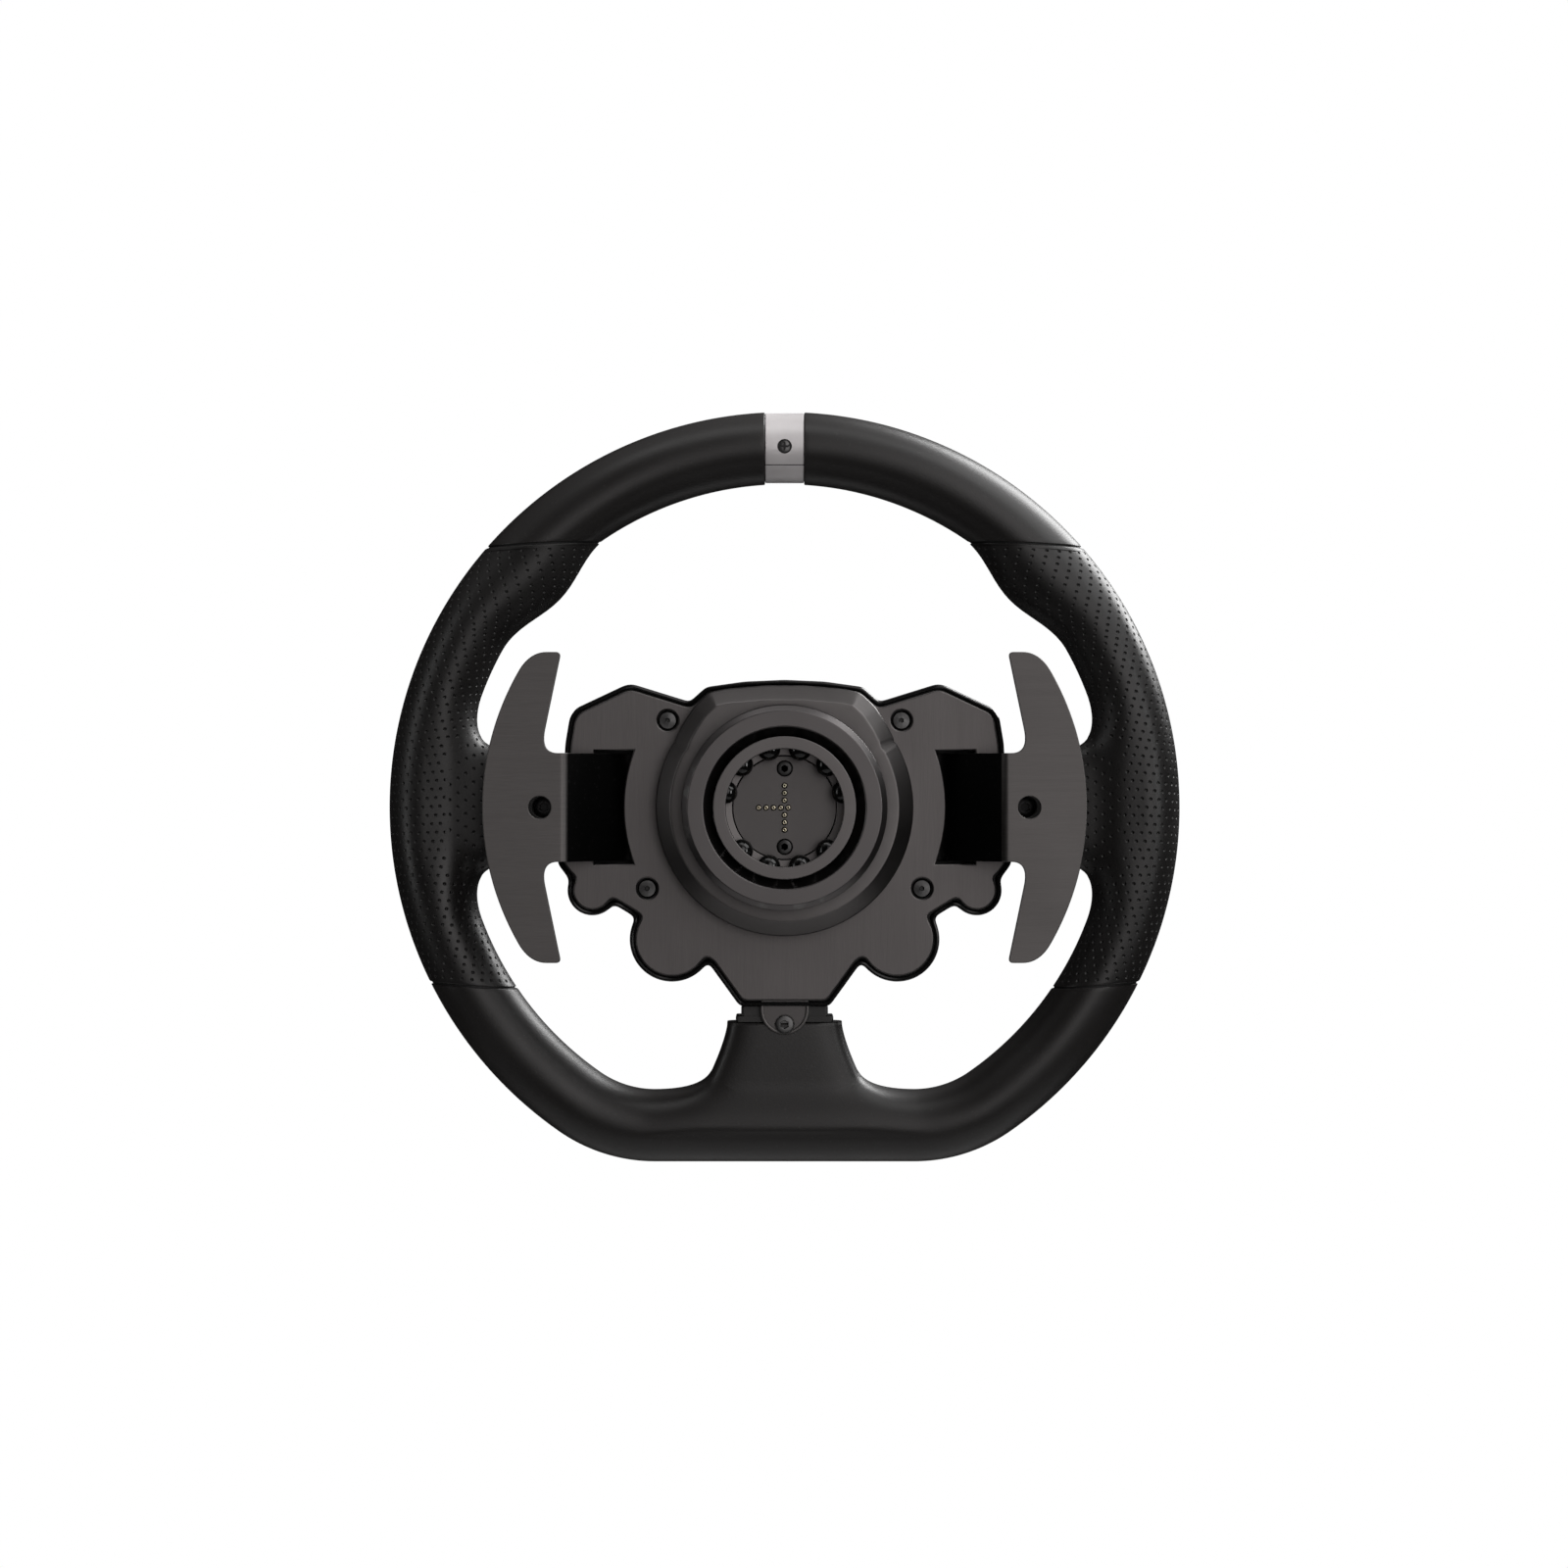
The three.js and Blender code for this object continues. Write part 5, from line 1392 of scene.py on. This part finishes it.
def slot_well(name, sign):
    """The walls inside a paddle's opening, which close it off from the rest of the casing, painted near
    black as shade.
    """
    loop = even(slot_loop(1, 0.15), 1.2)
    levels = ((0.0, 48.9), (0.0, 54.6))
    points, faces = rings([at_level(moved_in(loop, -inset), y) for inset, y in levels], False, True)
    placed = points if sign > 0 else flipped(points)
    piece(f"slot_well_{name}", placed, faces, "deep_black", slot="gloss_black", smooth=30)


def front_casing(outline):
    wall = []
    for inset, y in (
        (1.3, 58.1), (0.25, 58.1), (0.0, 58.4), (0.0, 69.4),
        (0.12, 70.1), (0.45, 70.65), (1.0, 70.94), (2.0, 71.0),
    ):
        wall.append(at_level(moved_in(outline, inset), y))
    points, faces = rings(wall)
    piece("front_wall", points, faces, "gloss_black", smooth=35, stands_for=["front_housing"])
    holes = []
    for sign in (1, -1):
        holes.append(ring_of(10.2, sign * LARGE_LOBE[0], LARGE_LOBE[1], 64))
        holes.append(ring_of(4.95, sign * SMALL_LOBE[0], SMALL_LOBE[1], 48))
        holes.append(ring_of(3.35, sign * ENCODER[0], ENCODER[1], 32))
        holes += [ring_of(4.95, sign * x, z, 48) for x, z in EAR_BUTTONS.values()]
    holes.append(corner_rounded([(-24.4, 32.9), (24.4, 32.9), (24.4, 38.1), (-24.4, 38.1)], 1.2))
    plate_piece(
        "front_panel", [moved_in(outline, 1.9), *holes], 68.6, 71.0, 0.3, "matte_black",
        slot="gloss_black", smooth=30,
    )


def spoke_cover():
    """The neck round the bottom spoke and the tab with its screw."""
    for label, half, low, high, rear, front in (
        ("neck", 15.3, -73.7, -70.3, 48.5, 67.5),
        ("neck_step", 17.2, -75.7, -73.7, 47.7, 68.3),
    ):
        loop = corner_rounded([(-half, rear), (half, rear), (half, front), (-half, front)], 1.0)
        skins = []
        for inset, z in ((0.3, low), (0.0, low + 0.3), (0.0, high - 0.3), (0.3, high)):
            scale_x = 1 - inset / half
            skins.append([(x * scale_x, y, z) for x, y in loop])
        points, faces = rings(skins, True, True)
        stands = ["neck_collar"] if label == "neck" else []
        made = piece(label, points, faces, "matte_black", smooth=35, stands_for=stands)
        carved(made, [rod(TAB_RADIUS + 0.3, 40, 48.3, 0, NECK_Z, 64)], 35)
    tab_arc = [
        (TAB_RADIUS * math.cos(t), NECK_Z + TAB_RADIUS * math.sin(t)) for t in np.linspace(-math.pi, 0, 40)
    ]
    loop = even([*tab_arc, (TAB_RADIUS, NECK_Z + 3.7), (-TAB_RADIUS, NECK_Z + 3.7)], 0.6)
    loop = relaxed(loop, 2)
    skins = []
    for inset, y in (
        (0.0, 47.8), (0.0, 45.75), (0.12, 45.5), (0.35, 45.4), (0.95, 45.4), (1.15, 45.5), (1.3, 45.95),
    ):
        skins.append(at_level(moved_in(loop, inset), y))
    points, faces = rings(skins, True, True)
    made = piece(
        "tab", points, faces, "tab_alloy", smooth=35, stands_for=["spoke_tab"], slot="matte_black"
    )
    carved(made, [rod(3.55, 44.0, 47.2, 0, TAB_SCREW_Z, 48)], 35)
    screw_head("tab_bolt", "tab_screw", 3.1, 44.9, 2.1, 0, TAB_SCREW_Z, "hex", 1.5, "bolt_steel", 0.25)


# ---- Quick release ----

def flange_loop():
    """The flange's outline: round below, with straight shoulders and a low arch on top."""
    shoulder = np.array((32.1, 34.7))
    reach = np.linalg.norm(shoulder)
    tangent = math.atan2(shoulder[1], shoulder[0]) - math.acos(FLANGE_RADIUS / reach)
    half = [
        (FLANGE_RADIUS * math.cos(t), FLANGE_RADIUS * math.sin(t))
        for t in np.linspace(-math.pi / 2, tangent, 60)
    ]
    arch = [half[-1], tuple(shoulder), (26.1, 40.4), (13.05, 42.05), (0.0, 42.6), (-10.0, 42.4)]
    top = [p for p in corner_rounded(arch, 2.2) if p[0] > 0.5 and p[1] > half[-1][1] + 0.5]
    half = half + top + [(0.0, 42.58)]
    loop = half + [(-x, z) for x, z in half[-2:0:-1]]
    loop = np.array(loop)
    clocks = np.arctan2(loop[:, 1], loop[:, 0])
    order = np.argsort(clocks)
    clocks = clocks[order]
    radii = np.hypot(loop[:, 0], loop[:, 1])[order]
    turns = np.linspace(-math.pi, math.pi, 256, endpoint=False)
    found = np.interp(turns, clocks, radii, period=TURN)
    return np.stack((found * np.cos(turns), found * np.sin(turns)), axis=1)


def flange():
    outline = flange_loop()
    turns = np.arctan2(outline[:, 1], outline[:, 0])
    skins = [at_level(moved_in(outline, inset), y) for inset, y in (
        (0.0, 43.7), (0.0, 33.8), (0.12, 33.35), (0.45, 32.85), (4.75, 28.45), (5.2, 28.1), (5.8, 28.0),
    )]
    for radius, y in (
        (35.9, 28.0), (35.55, 28.1), (35.45, 28.5), (33.75, 28.9), (33.7, 29.4), (33.7, 39.0), (25.0, 39.0),
    ):
        skins.append(at_level(np.stack((radius * np.cos(turns), radius * np.sin(turns)), axis=1), y))
    points, faces = rings(skins)
    piece("flange", points, faces, "anodised_flange", smooth=28, stands_for=["qr_flange"])


def sleeve():
    """The fixed tube, with a bored seat for each lock ball."""
    sleeve_profile = [
        (20.25, 10.0), (20.25, 0.0), (24.5, 0.0), (24.5, 49.3), (32.0, 49.3), (32.0, 55.2), (18.0, 55.2),
        (18.0, 12.6), (18.0, 10.2), (20.25, 10.0),
    ]
    made = lathe_piece(
        "sleeve", sleeve_profile, "anodised_sleeve", sides=128, radius=0.3, smooth=35,
        stands_for=["qr_sleeve"],
    )
    holes = []
    for clock in BALL_CLOCKS:
        way = clock_point(clock, 1.0)
        side = np.array((way[1], -way[0]))
        loops = []
        for reach in (16.0, 28.0):
            loops.append([
                (way[0] * reach + side[0] * BALL_HOLE * math.cos(t), BALL_Y + BALL_HOLE * math.sin(t),
                 way[1] * reach + side[1] * BALL_HOLE * math.cos(t))
                for t in np.linspace(0, TURN, 40, endpoint=False)
            ])
        holes.append(rings(loops, True, True))
    carved(made, holes, 35)


def release_ring():
    """The sliding collar: a lead-in, two grip bands with a groove between them, and a skirt."""
    collar_profile = [
        (27.6, 3.8), (27.6, 1.2), (28.0, 0.8), (33.3, 0.8), (35.2, 2.7), (35.2, 8.0), (33.8, 9.2),
        (33.8, 12.2), (35.2, 13.6), (35.2, 20.0), (34.4, 20.8), (32.95, 20.8), (32.95, 30.8),
        (30.35, 30.8), (30.35, 12.0), (24.8, 12.0), (24.8, 6.4), (27.6, 3.8),
    ]
    lathe_piece(
        "release_ring", collar_profile, "anodised_collar", sides=160, radius=0.25, smooth=28,
        body="release_collar", stands_for=["qr_collar"],
    )


def lock_balls():
    steps = 24
    for i, clock in enumerate(BALL_CLOCKS):
        number = str(i + 1).zfill(2)
        x, z = clock_point(clock, BALL_SEAT)
        profile = []
        for k in range(steps + 1):
            turn = math.pi * k / steps
            profile.append((BALL_RADIUS * math.sin(turn), BALL_Y - BALL_RADIUS * math.cos(turn)))
        profile[0] = (0.0, profile[0][1])
        profile[-1] = (0.0, profile[-1][1])
        # The balls carry painted shade: near black, though they are steel.
        lathe_piece(
            f"ball_{number}", profile, "ball_steel", x, z, 40, 0.01, smooth=0,
            body=f"lock_ball_{number}", stands_for=[f"lock_ball_{number}"],
        )


def quick_release():
    flange()
    sleeve()
    release_ring()
    return_spring()
    lock_balls()
    contacts()


def return_spring():
    """The spring behind the release ring, ground flat at its ends."""
    steps = 400
    wire_sides = 12
    coil_radius = 27.35
    wire_radius = 0.9
    loops = []
    for i in range(steps + 1):
        t = i / steps
        turn = TURN * 4.6 * t
        y = 13.1 + 24.6 * min(max((t - 0.09) / 0.82, 0.0), 1.0)
        out = np.array((math.cos(turn), 0, math.sin(turn)))
        middle = out * coil_radius + np.array((0, y, 0))
        loops.append([
            tuple(middle + out * wire_radius * math.cos(a) + np.array((0, wire_radius * math.sin(a), 0)))
            for a in np.linspace(0, TURN, wire_sides, endpoint=False)
        ])
    points, faces = rings(loops, True, True)
    made = piece("return_spring", points, faces, "spring_steel", smooth=50, stands_for=["collar_spring"])
    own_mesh(made)


def contacts():
    """The contact disc with its two bolts, and the sprung pins in their holes."""
    places = [(x * PIN_PITCH, z * PIN_PITCH) for x, z in PINS]
    holes = [ring_of(0.95, x, z, 28) for x, z in places]
    holes += [ring_of(2.75, 0, z, 48) for z in (CONTACT_BOLT_Z, -CONTACT_BOLT_Z)]
    plate_piece(
        "contact_disc", [ring_of(17.75, sides=128), *holes],
        CONTACT_Y, CONTACT_Y + 1.8, 0.15, "contact_face", smooth=30, stands_for=["contact_plate"],
    )
    # Painted shade: the backing that shows in the gap round the disc is near black, though it is the disc's
    # metal.
    lathe_piece(
        "contact_backing", [(0, 14.5), (17.2, 14.5), (17.2, 15.6), (0, 15.6)], "deep_black",
        slot="contact_face", sides=64,
    )
    pin = [
        (0.0, 11.5), (0.28, 11.4), (0.3, 10.4), (0.42, 10.2), (0.62, 10.25), (0.72, 10.45), (0.72, 13.3),
        (0.0, 13.3),
    ]
    hollow = [(0.0, 11.2), (0.27, 11.2), (0.27, 11.35), (0.0, 11.35)]
    skin = merged(*[lathe(pin, x, z, 28, 0.08) for x, z in places])
    piece("spring_pins", *skin, "gold_pins", body="pin_carrier", smooth=40, stands_for=["contact_pins"])
    # Painted shade: near black floors in the pins' cups, which are gold.
    floors = merged(*[lathe(hollow, x, z, 16) for x, z in places])
    piece("pin_hollows", *floors, "deep_black", body="pin_carrier", slot="gold_pins")
    for label, z in (("upper", CONTACT_BOLT_Z), ("lower", -CONTACT_BOLT_Z)):
        screw_head(
            f"contact_bolt_{label}", f"contact_screw_{label}", 2.45, 12.0, 1.4, 0, z, size=1.15, dome=0.2,
        )


# ---- Paddles ----

def blade_loop():
    """A paddle's blade: an arc outside, two horns and a straight root."""
    centre = BLADE_OUTER - BLADE_ARC
    tip = np.array(BLADE_TIP)
    lean = math.asin(tip[1] / BLADE_ARC)
    soft = 7.0
    limit = lean - soft / BLADE_ARC
    outer = [
        (centre + BLADE_ARC * math.cos(t), BLADE_ARC * math.sin(t)) for t in np.linspace(-limit, limit, 60)
    ]
    corner = np.array((centre + BLADE_ARC * math.cos(lean), tip[1]))
    end = corner - np.array((soft * 0.8, 0.0))
    shoulder = bend(np.array(outer[-1]), corner, end, np.linspace(0.1, 1, 10))
    waist = np.array((84.9, PADDLE_ROOT_HALF))
    rise = waist + (tip - waist) / np.linalg.norm(tip - waist) * 8.5
    foot = np.array((78.7, PADDLE_ROOT_HALF))
    crown = [
        p for p in corner_rounded([tuple(end), tuple(tip), tuple(rise)], [0.01, 1.9, 0.01])
        if abs(p[0] - end[0]) > 0.2 and np.hypot(p[0] - rise[0], p[1] - rise[1]) > 0.2
    ]
    top = shoulder + crown + bend(rise, waist, foot, np.linspace(0, 1, 12))
    return outer + top + [(x, -z) for x, z in top[::-1]]


def paddle_root():
    """The bent foot of a paddle, in X and Y: its bare bend, and its slope with a second bend, painted near
    black with almost no shine as shade for the dark it reflects.
    """
    blade_middle = BLADE_Y + SHEET / 2
    path = [
        (79.0, blade_middle), (76.9, blade_middle), (57.2, PADDLE_ROOT_Y), (PADDLE_PIVOT_X, PADDLE_ROOT_Y),
    ]
    middle = np.array(rounded(path, 2.6, 8))
    ahead = np.gradient(middle, axis=0)
    ahead /= np.linalg.norm(ahead, axis=1)[:, None]
    out = np.stack((-ahead[:, 1], ahead[:, 0]), axis=1)
    half = SHEET / 2
    high = PADDLE_ROOT_HALF
    outline = corner_rounded([(-half, -high), (half, -high), (half, high), (-half, high)], 0.35, 3)
    loops = []
    for centre, way in zip(middle, out):
        section = []
        for across, z in outline:
            point = centre + way * across
            section.append((point[0], point[1], z))
        loops.append(section)
    return rings(loops[:10], True, True), rings(loops[9:], True, True)


def paddles():
    loop = blade_loop()
    feet = paddle_root()
    end = PADDLE_ROOT_HALF
    barrel = lathe([(0.0, -end), (2.7, -end), (2.7, end), (0.0, end)], 0, 0, 40, 0.4)
    for name, sign in SIDES.items():
        body = f"paddle_{name}"
        blade = [(sign * x, z) for x, z in loop]
        plate_piece(
            f"blade_{name}", [blade, ring_of(PADDLE_HOLE[1], sign * PADDLE_HOLE[0], 0, 64)],
            BLADE_Y, BLADE_Y + SHEET, 0.3, "paddle_alloy", body=body, smooth=30, stands_for=[body],
        )
        # The foot's slope is painted shade: near black with almost no shine, though it is the paddle's
        # alloy.
        for label, finish, (points, faces) in zip(("bend", "foot"), ("paddle_alloy", "slope_painted_shade"), feet):
            placed = points if sign > 0 else flipped(points)
            piece(
                f"paddle_{label}_{name}", placed, faces, finish, slot="paddle_alloy", body=body, smooth=30
            )
        turned = [(sign * PADDLE_PIVOT_X + x, PADDLE_ROOT_Y + z, y) for x, y, z in barrel[0]]
        piece(
            f"paddle_barrel_{name}", turned, barrel[1], "matte_black", slot="paddle_alloy", body=body,
            smooth=35,
        )
        screw_head(
            f"spoke_bolt_{name}", f"spoke_screw_{name}", 3.3, 51.7, 3.5, sign * PADDLE_HOLE[0], 0,
            size=1.6, dome=0.3,
        )


# ---- Driver's side ----

def knurled(profile, x, z, teeth, depth, sides_per_tooth=6):
    """A turned shape whose outer wall carries fine teeth."""
    smooth = rounded(profile, 0.35)
    sides = teeth * sides_per_tooth
    widest = max(r for r, _ in smooth)
    loops = []
    for radius, y in smooth:
        share = 1.0 if radius > widest - 0.15 else 0.0
        loop = []
        for i in range(sides):
            turn = TURN * i / sides
            r = radius - share * depth * (0.5 + 0.5 * math.cos(teeth * turn))
            loop.append((x + r * math.sin(turn), y, z + r * math.cos(turn)))
        loops.append(loop)
    return rings(loops, True, True)


def control(name, node, profile, finish, x, z, body, teeth=0, depth=0.3, **more):
    if teeth:
        points, faces = knurled(profile, x, z, teeth, depth)
    else:
        points, faces = lathe(profile, x, z, 64, 0.3)
    return piece(name, points, faces, finish, body=body, stands_for=[node], **more)


def driver_side():
    """The controls that the driver sees: buttons, encoders and thumbsticks."""
    button = [
        (0.0, 65.6), (5.8, 65.6), (5.8, 68.3), (4.6, 68.3), (4.6, 73.6), (4.1, 74.45), (3.4, 74.5),
        (3.0, 74.2), (0.0, 74.0),
    ]
    knob = [
        (3.0, 71.3), (7.0, 71.3), (7.5, 71.8), (7.5, 81.4), (6.6, 82.5), (5.6, 82.5), (5.2, 82.1),
        (1.0, 82.1),
    ]
    shaft = [(0.0, 65.6), (4.5, 65.6), (4.5, 68.3), (3.0, 68.3), (3.0, 71.4), (0.0, 71.4)]
    cap = [
        (1.0, 62.0), (3.2, 63.2), (4.2, 66.0), (3.0, 69.0), (2.8, 75.0), (7.2, 75.0), (8.0, 75.8),
        (8.0, 77.4), (7.0, 78.0), (6.2, 77.9), (4.8, 77.3), (0.6, 76.9),
    ]
    well = [(10.1, 71.0), (10.1, 62.0), (0.0, 61.6)]
    surround = [(10.1, 70.6), (10.25, 71.2), (10.9, 71.5), (11.5, 71.3), (11.7, 70.9)]
    for name, sign in SIDES.items():
        places = [("lobe_button", SMALL_LOBE[:2])]
        places += [(f"ear_button_{place}", spot) for place, spot in EAR_BUTTONS.items()]
        for label, (x, z) in places:
            node = f"{label}_{name}"
            control(f"{label}_cap_{name}", node, button, "button_plastic", sign * x, z, node, smooth=30)
        x, z = sign * ENCODER[0], ENCODER[1]
        node = f"encoder_{name}"
        control(f"encoder_knob_{name}", node, knob, "encoder_alloy", x, z, node, 40, 0.35, smooth=50)
        stem = lathe(shaft, x, z, 48)
        piece(f"encoder_shaft_{name}", *stem, "pin_steel", body=node, slot="encoder_alloy", smooth=35)
        x, z = sign * LARGE_LOBE[0], LARGE_LOBE[1]
        control(
            f"stick_cap_{name}", f"thumbstick_{name}", cap, "rubber_cap", x, z, f"stick_{name}", 36, 0.3,
            smooth=40,
        )
        # Painted shade: the well under the thumbstick is near black, though it is gloss black.
        socket = lathe(well, x, z, 64, 0.2)
        piece(f"stick_well_{name}", *socket, "deep_black", slot="gloss_black", smooth=40)
        collar = lathe(surround, x, z, 96, 0.2)
        piece(f"stick_surround_{name}", *collar, "gloss_black", smooth=40)
    centre_badge()
    lamps()


def centre_badge():
    """A plain turned cap over the middle of the casing."""
    profile = [
        (0.0, 71.3), (17.0, 71.3), (17.0, 72.8), (15.9, 73.9), (14.6, 74.0), (14.3, 73.6), (13.9, 73.6),
        (13.6, 74.0), (9.0, 73.8), (8.8, 73.5), (8.4, 73.5), (8.2, 73.8), (0.0, 73.6),
    ]
    lathe_piece(
        "middle_cap", profile, "cap_alloy", sides=128, radius=0.2, smooth=25, stands_for=["centre_cap"]
    )


def lamps():
    """The smoked bar over the casing with a row of small lamps behind it."""
    loop = corner_rounded([(-24, 33), (24, 33), (24, 38), (-24, 38)], 1.0)
    plate_piece("lamp_bar", [loop], 68.3, 71.8, 0.4, "smoked_lens", smooth=30, stands_for=["light_bar"])
    skins = []
    for i in range(12):
        x = -20.9 + 3.8 * i
        skins.append(lathe([(0.0, 71.7), (1.15, 71.75), (1.05, 72.0), (0.0, 72.15)], x, 35.5, 24, 0.1))
    points, faces = merged(*skins)
    piece("lamp_row", points, faces, "lamp_lens", slot="smoked_lens", smooth=40)


def kept_cad_nodes():
    """CAD nodes whose own shape is right keep it, with their own finish."""
    finishes = {
        "rim_plate": "cast_alloy", "main_board": "board", "paddle_pivot": "pin_steel",
        "stick_gimbal": "gimbal_plastic",
    }
    for name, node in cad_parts.items():
        kind = name.removesuffix("_right").removesuffix("_left")
        finish = finishes.get(kind, "matte_black")
        node.data.materials.clear()
        node.data.materials.append(FINISHES[finish])


# ---- Studio ----

def studio_floor():
    """A pale floor well below the wheel."""
    mesh = bpy.data.meshes.new("studio_floor")
    shape = bmesh.new()
    bmesh.ops.create_circle(shape, cap_ends=True, segments=96, radius=FLOOR_RADIUS)
    shape.to_mesh(mesh)
    shape.free()
    floor = bpy.data.objects.new("studio_floor", mesh)
    floor.location = (0, 0.04, FLOOR_Z)
    bpy.context.scene.collection.objects.link(floor)
    finish = Finish("pale_floor", 0.5, 0.85)
    tone = finish.effect(HANDLING, Smudge_Size=3.0)
    mesh.materials.append(finish.gloss(tone["Smudge"], -0.03, 0.03).done())


def area_light(name, place, width, height, power):
    lamp = bpy.data.lights.new(name, "AREA")
    lamp.shape = "RECTANGLE"
    lamp.size = width
    lamp.size_y = height
    lamp.energy = power
    made = bpy.data.objects.new(name, lamp)
    made.location = place
    made.rotation_mode = "QUATERNION"
    way = Vector(LIGHT_AIM) - Vector(place)
    made.rotation_quaternion = way.to_track_quat("-Z", "Y")
    bpy.context.scene.collection.objects.link(made)


def studio_room():
    """White to the camera. To the wheel: dim, with a soft glow overhead and one behind the camera."""
    world = bpy.data.worlds.new("studio_room")
    bpy.context.scene.world = world
    world.use_nodes = True
    tree = world.node_tree
    tree.nodes.clear()
    place = tree.nodes.new("ShaderNodeTexCoord").outputs["Generated"]
    parts = shader_node(tree, "ShaderNodeSeparateXYZ", Vector=place)
    overhead = spread(tree, parts.outputs[2], 0.5, 1.0, 0.0, 0.4)
    forward = maths(tree, "MULTIPLY", parts.outputs[1], 0.955)
    raised = maths(tree, "MULTIPLY", parts.outputs[2], 0.297)
    behind = spread(tree, maths(tree, "SUBTRACT", forward, raised), -0.78, -1.0, 0.0, 1.14)
    upward = maths(tree, "MULTIPLY", parts.outputs[2], 1.6)
    lean = maths(tree, "SUBTRACT", maths(tree, "MULTIPLY", parts.outputs[0], 6.0), upward)
    behind = maths(tree, "MULTIPLY", behind, maths(tree, "ADD", lean, 1.0))
    lift = maths(tree, "MAXIMUM", maths(tree, "ADD", maths(tree, "ADD", overhead, behind), 0.02), 0.0)
    room = shader_node(tree, "ShaderNodeBackground", Strength=lift, Color=(1.0, 0.965, 0.96, 1.0))
    white = shader_node(tree, "ShaderNodeBackground", Strength=1.0, Color=(1.0, 1.0, 1.0, 1.0))
    path = tree.nodes.new("ShaderNodeLightPath")
    choice = tree.nodes.new("ShaderNodeMixShader")
    tree.links.new(path.outputs["Is Camera Ray"], choice.inputs[0])
    tree.links.new(room.outputs[0], choice.inputs[1])
    tree.links.new(white.outputs[0], choice.inputs[2])
    out = tree.nodes.new("ShaderNodeOutputWorld")
    tree.links.new(choice.outputs[0], out.inputs[0])


def studio():
    studio_floor()
    for name, light in LIGHTS.items():
        area_light(name, *light)
    studio_room()


def camera():
    lens = bpy.data.cameras.new("camera")
    lens.sensor_width = 36
    lens.lens = CAMERA_LENS
    lens.clip_start = 0.05
    lens.clip_end = 20
    made = bpy.data.objects.new("camera", lens)
    made.location = (CAMERA_SIDE, RIM_Y * MM - CAMERA_DISTANCE, CAMERA_HEIGHT)
    made.rotation_euler = (math.pi / 2, 0, 0)
    bpy.context.scene.collection.objects.link(made)
    bpy.context.scene.camera = made


camera()
studio()
kept_cad_nodes()
top_grips()
handles()
bottom_grip()
eyelets()
joint_spacers()
marker()
screw_head(
    "marker_bolt", "marker_screw", 2.3, 44.5, 2.2, 0, MARKER_SCREW_Z, "cross", 1.35, "bolt_steel", 0.3
)
casing()
spoke_cover()
quick_release()
paddles()
driver_side()

bpy.context.scene.view_settings.view_transform = "Standard"
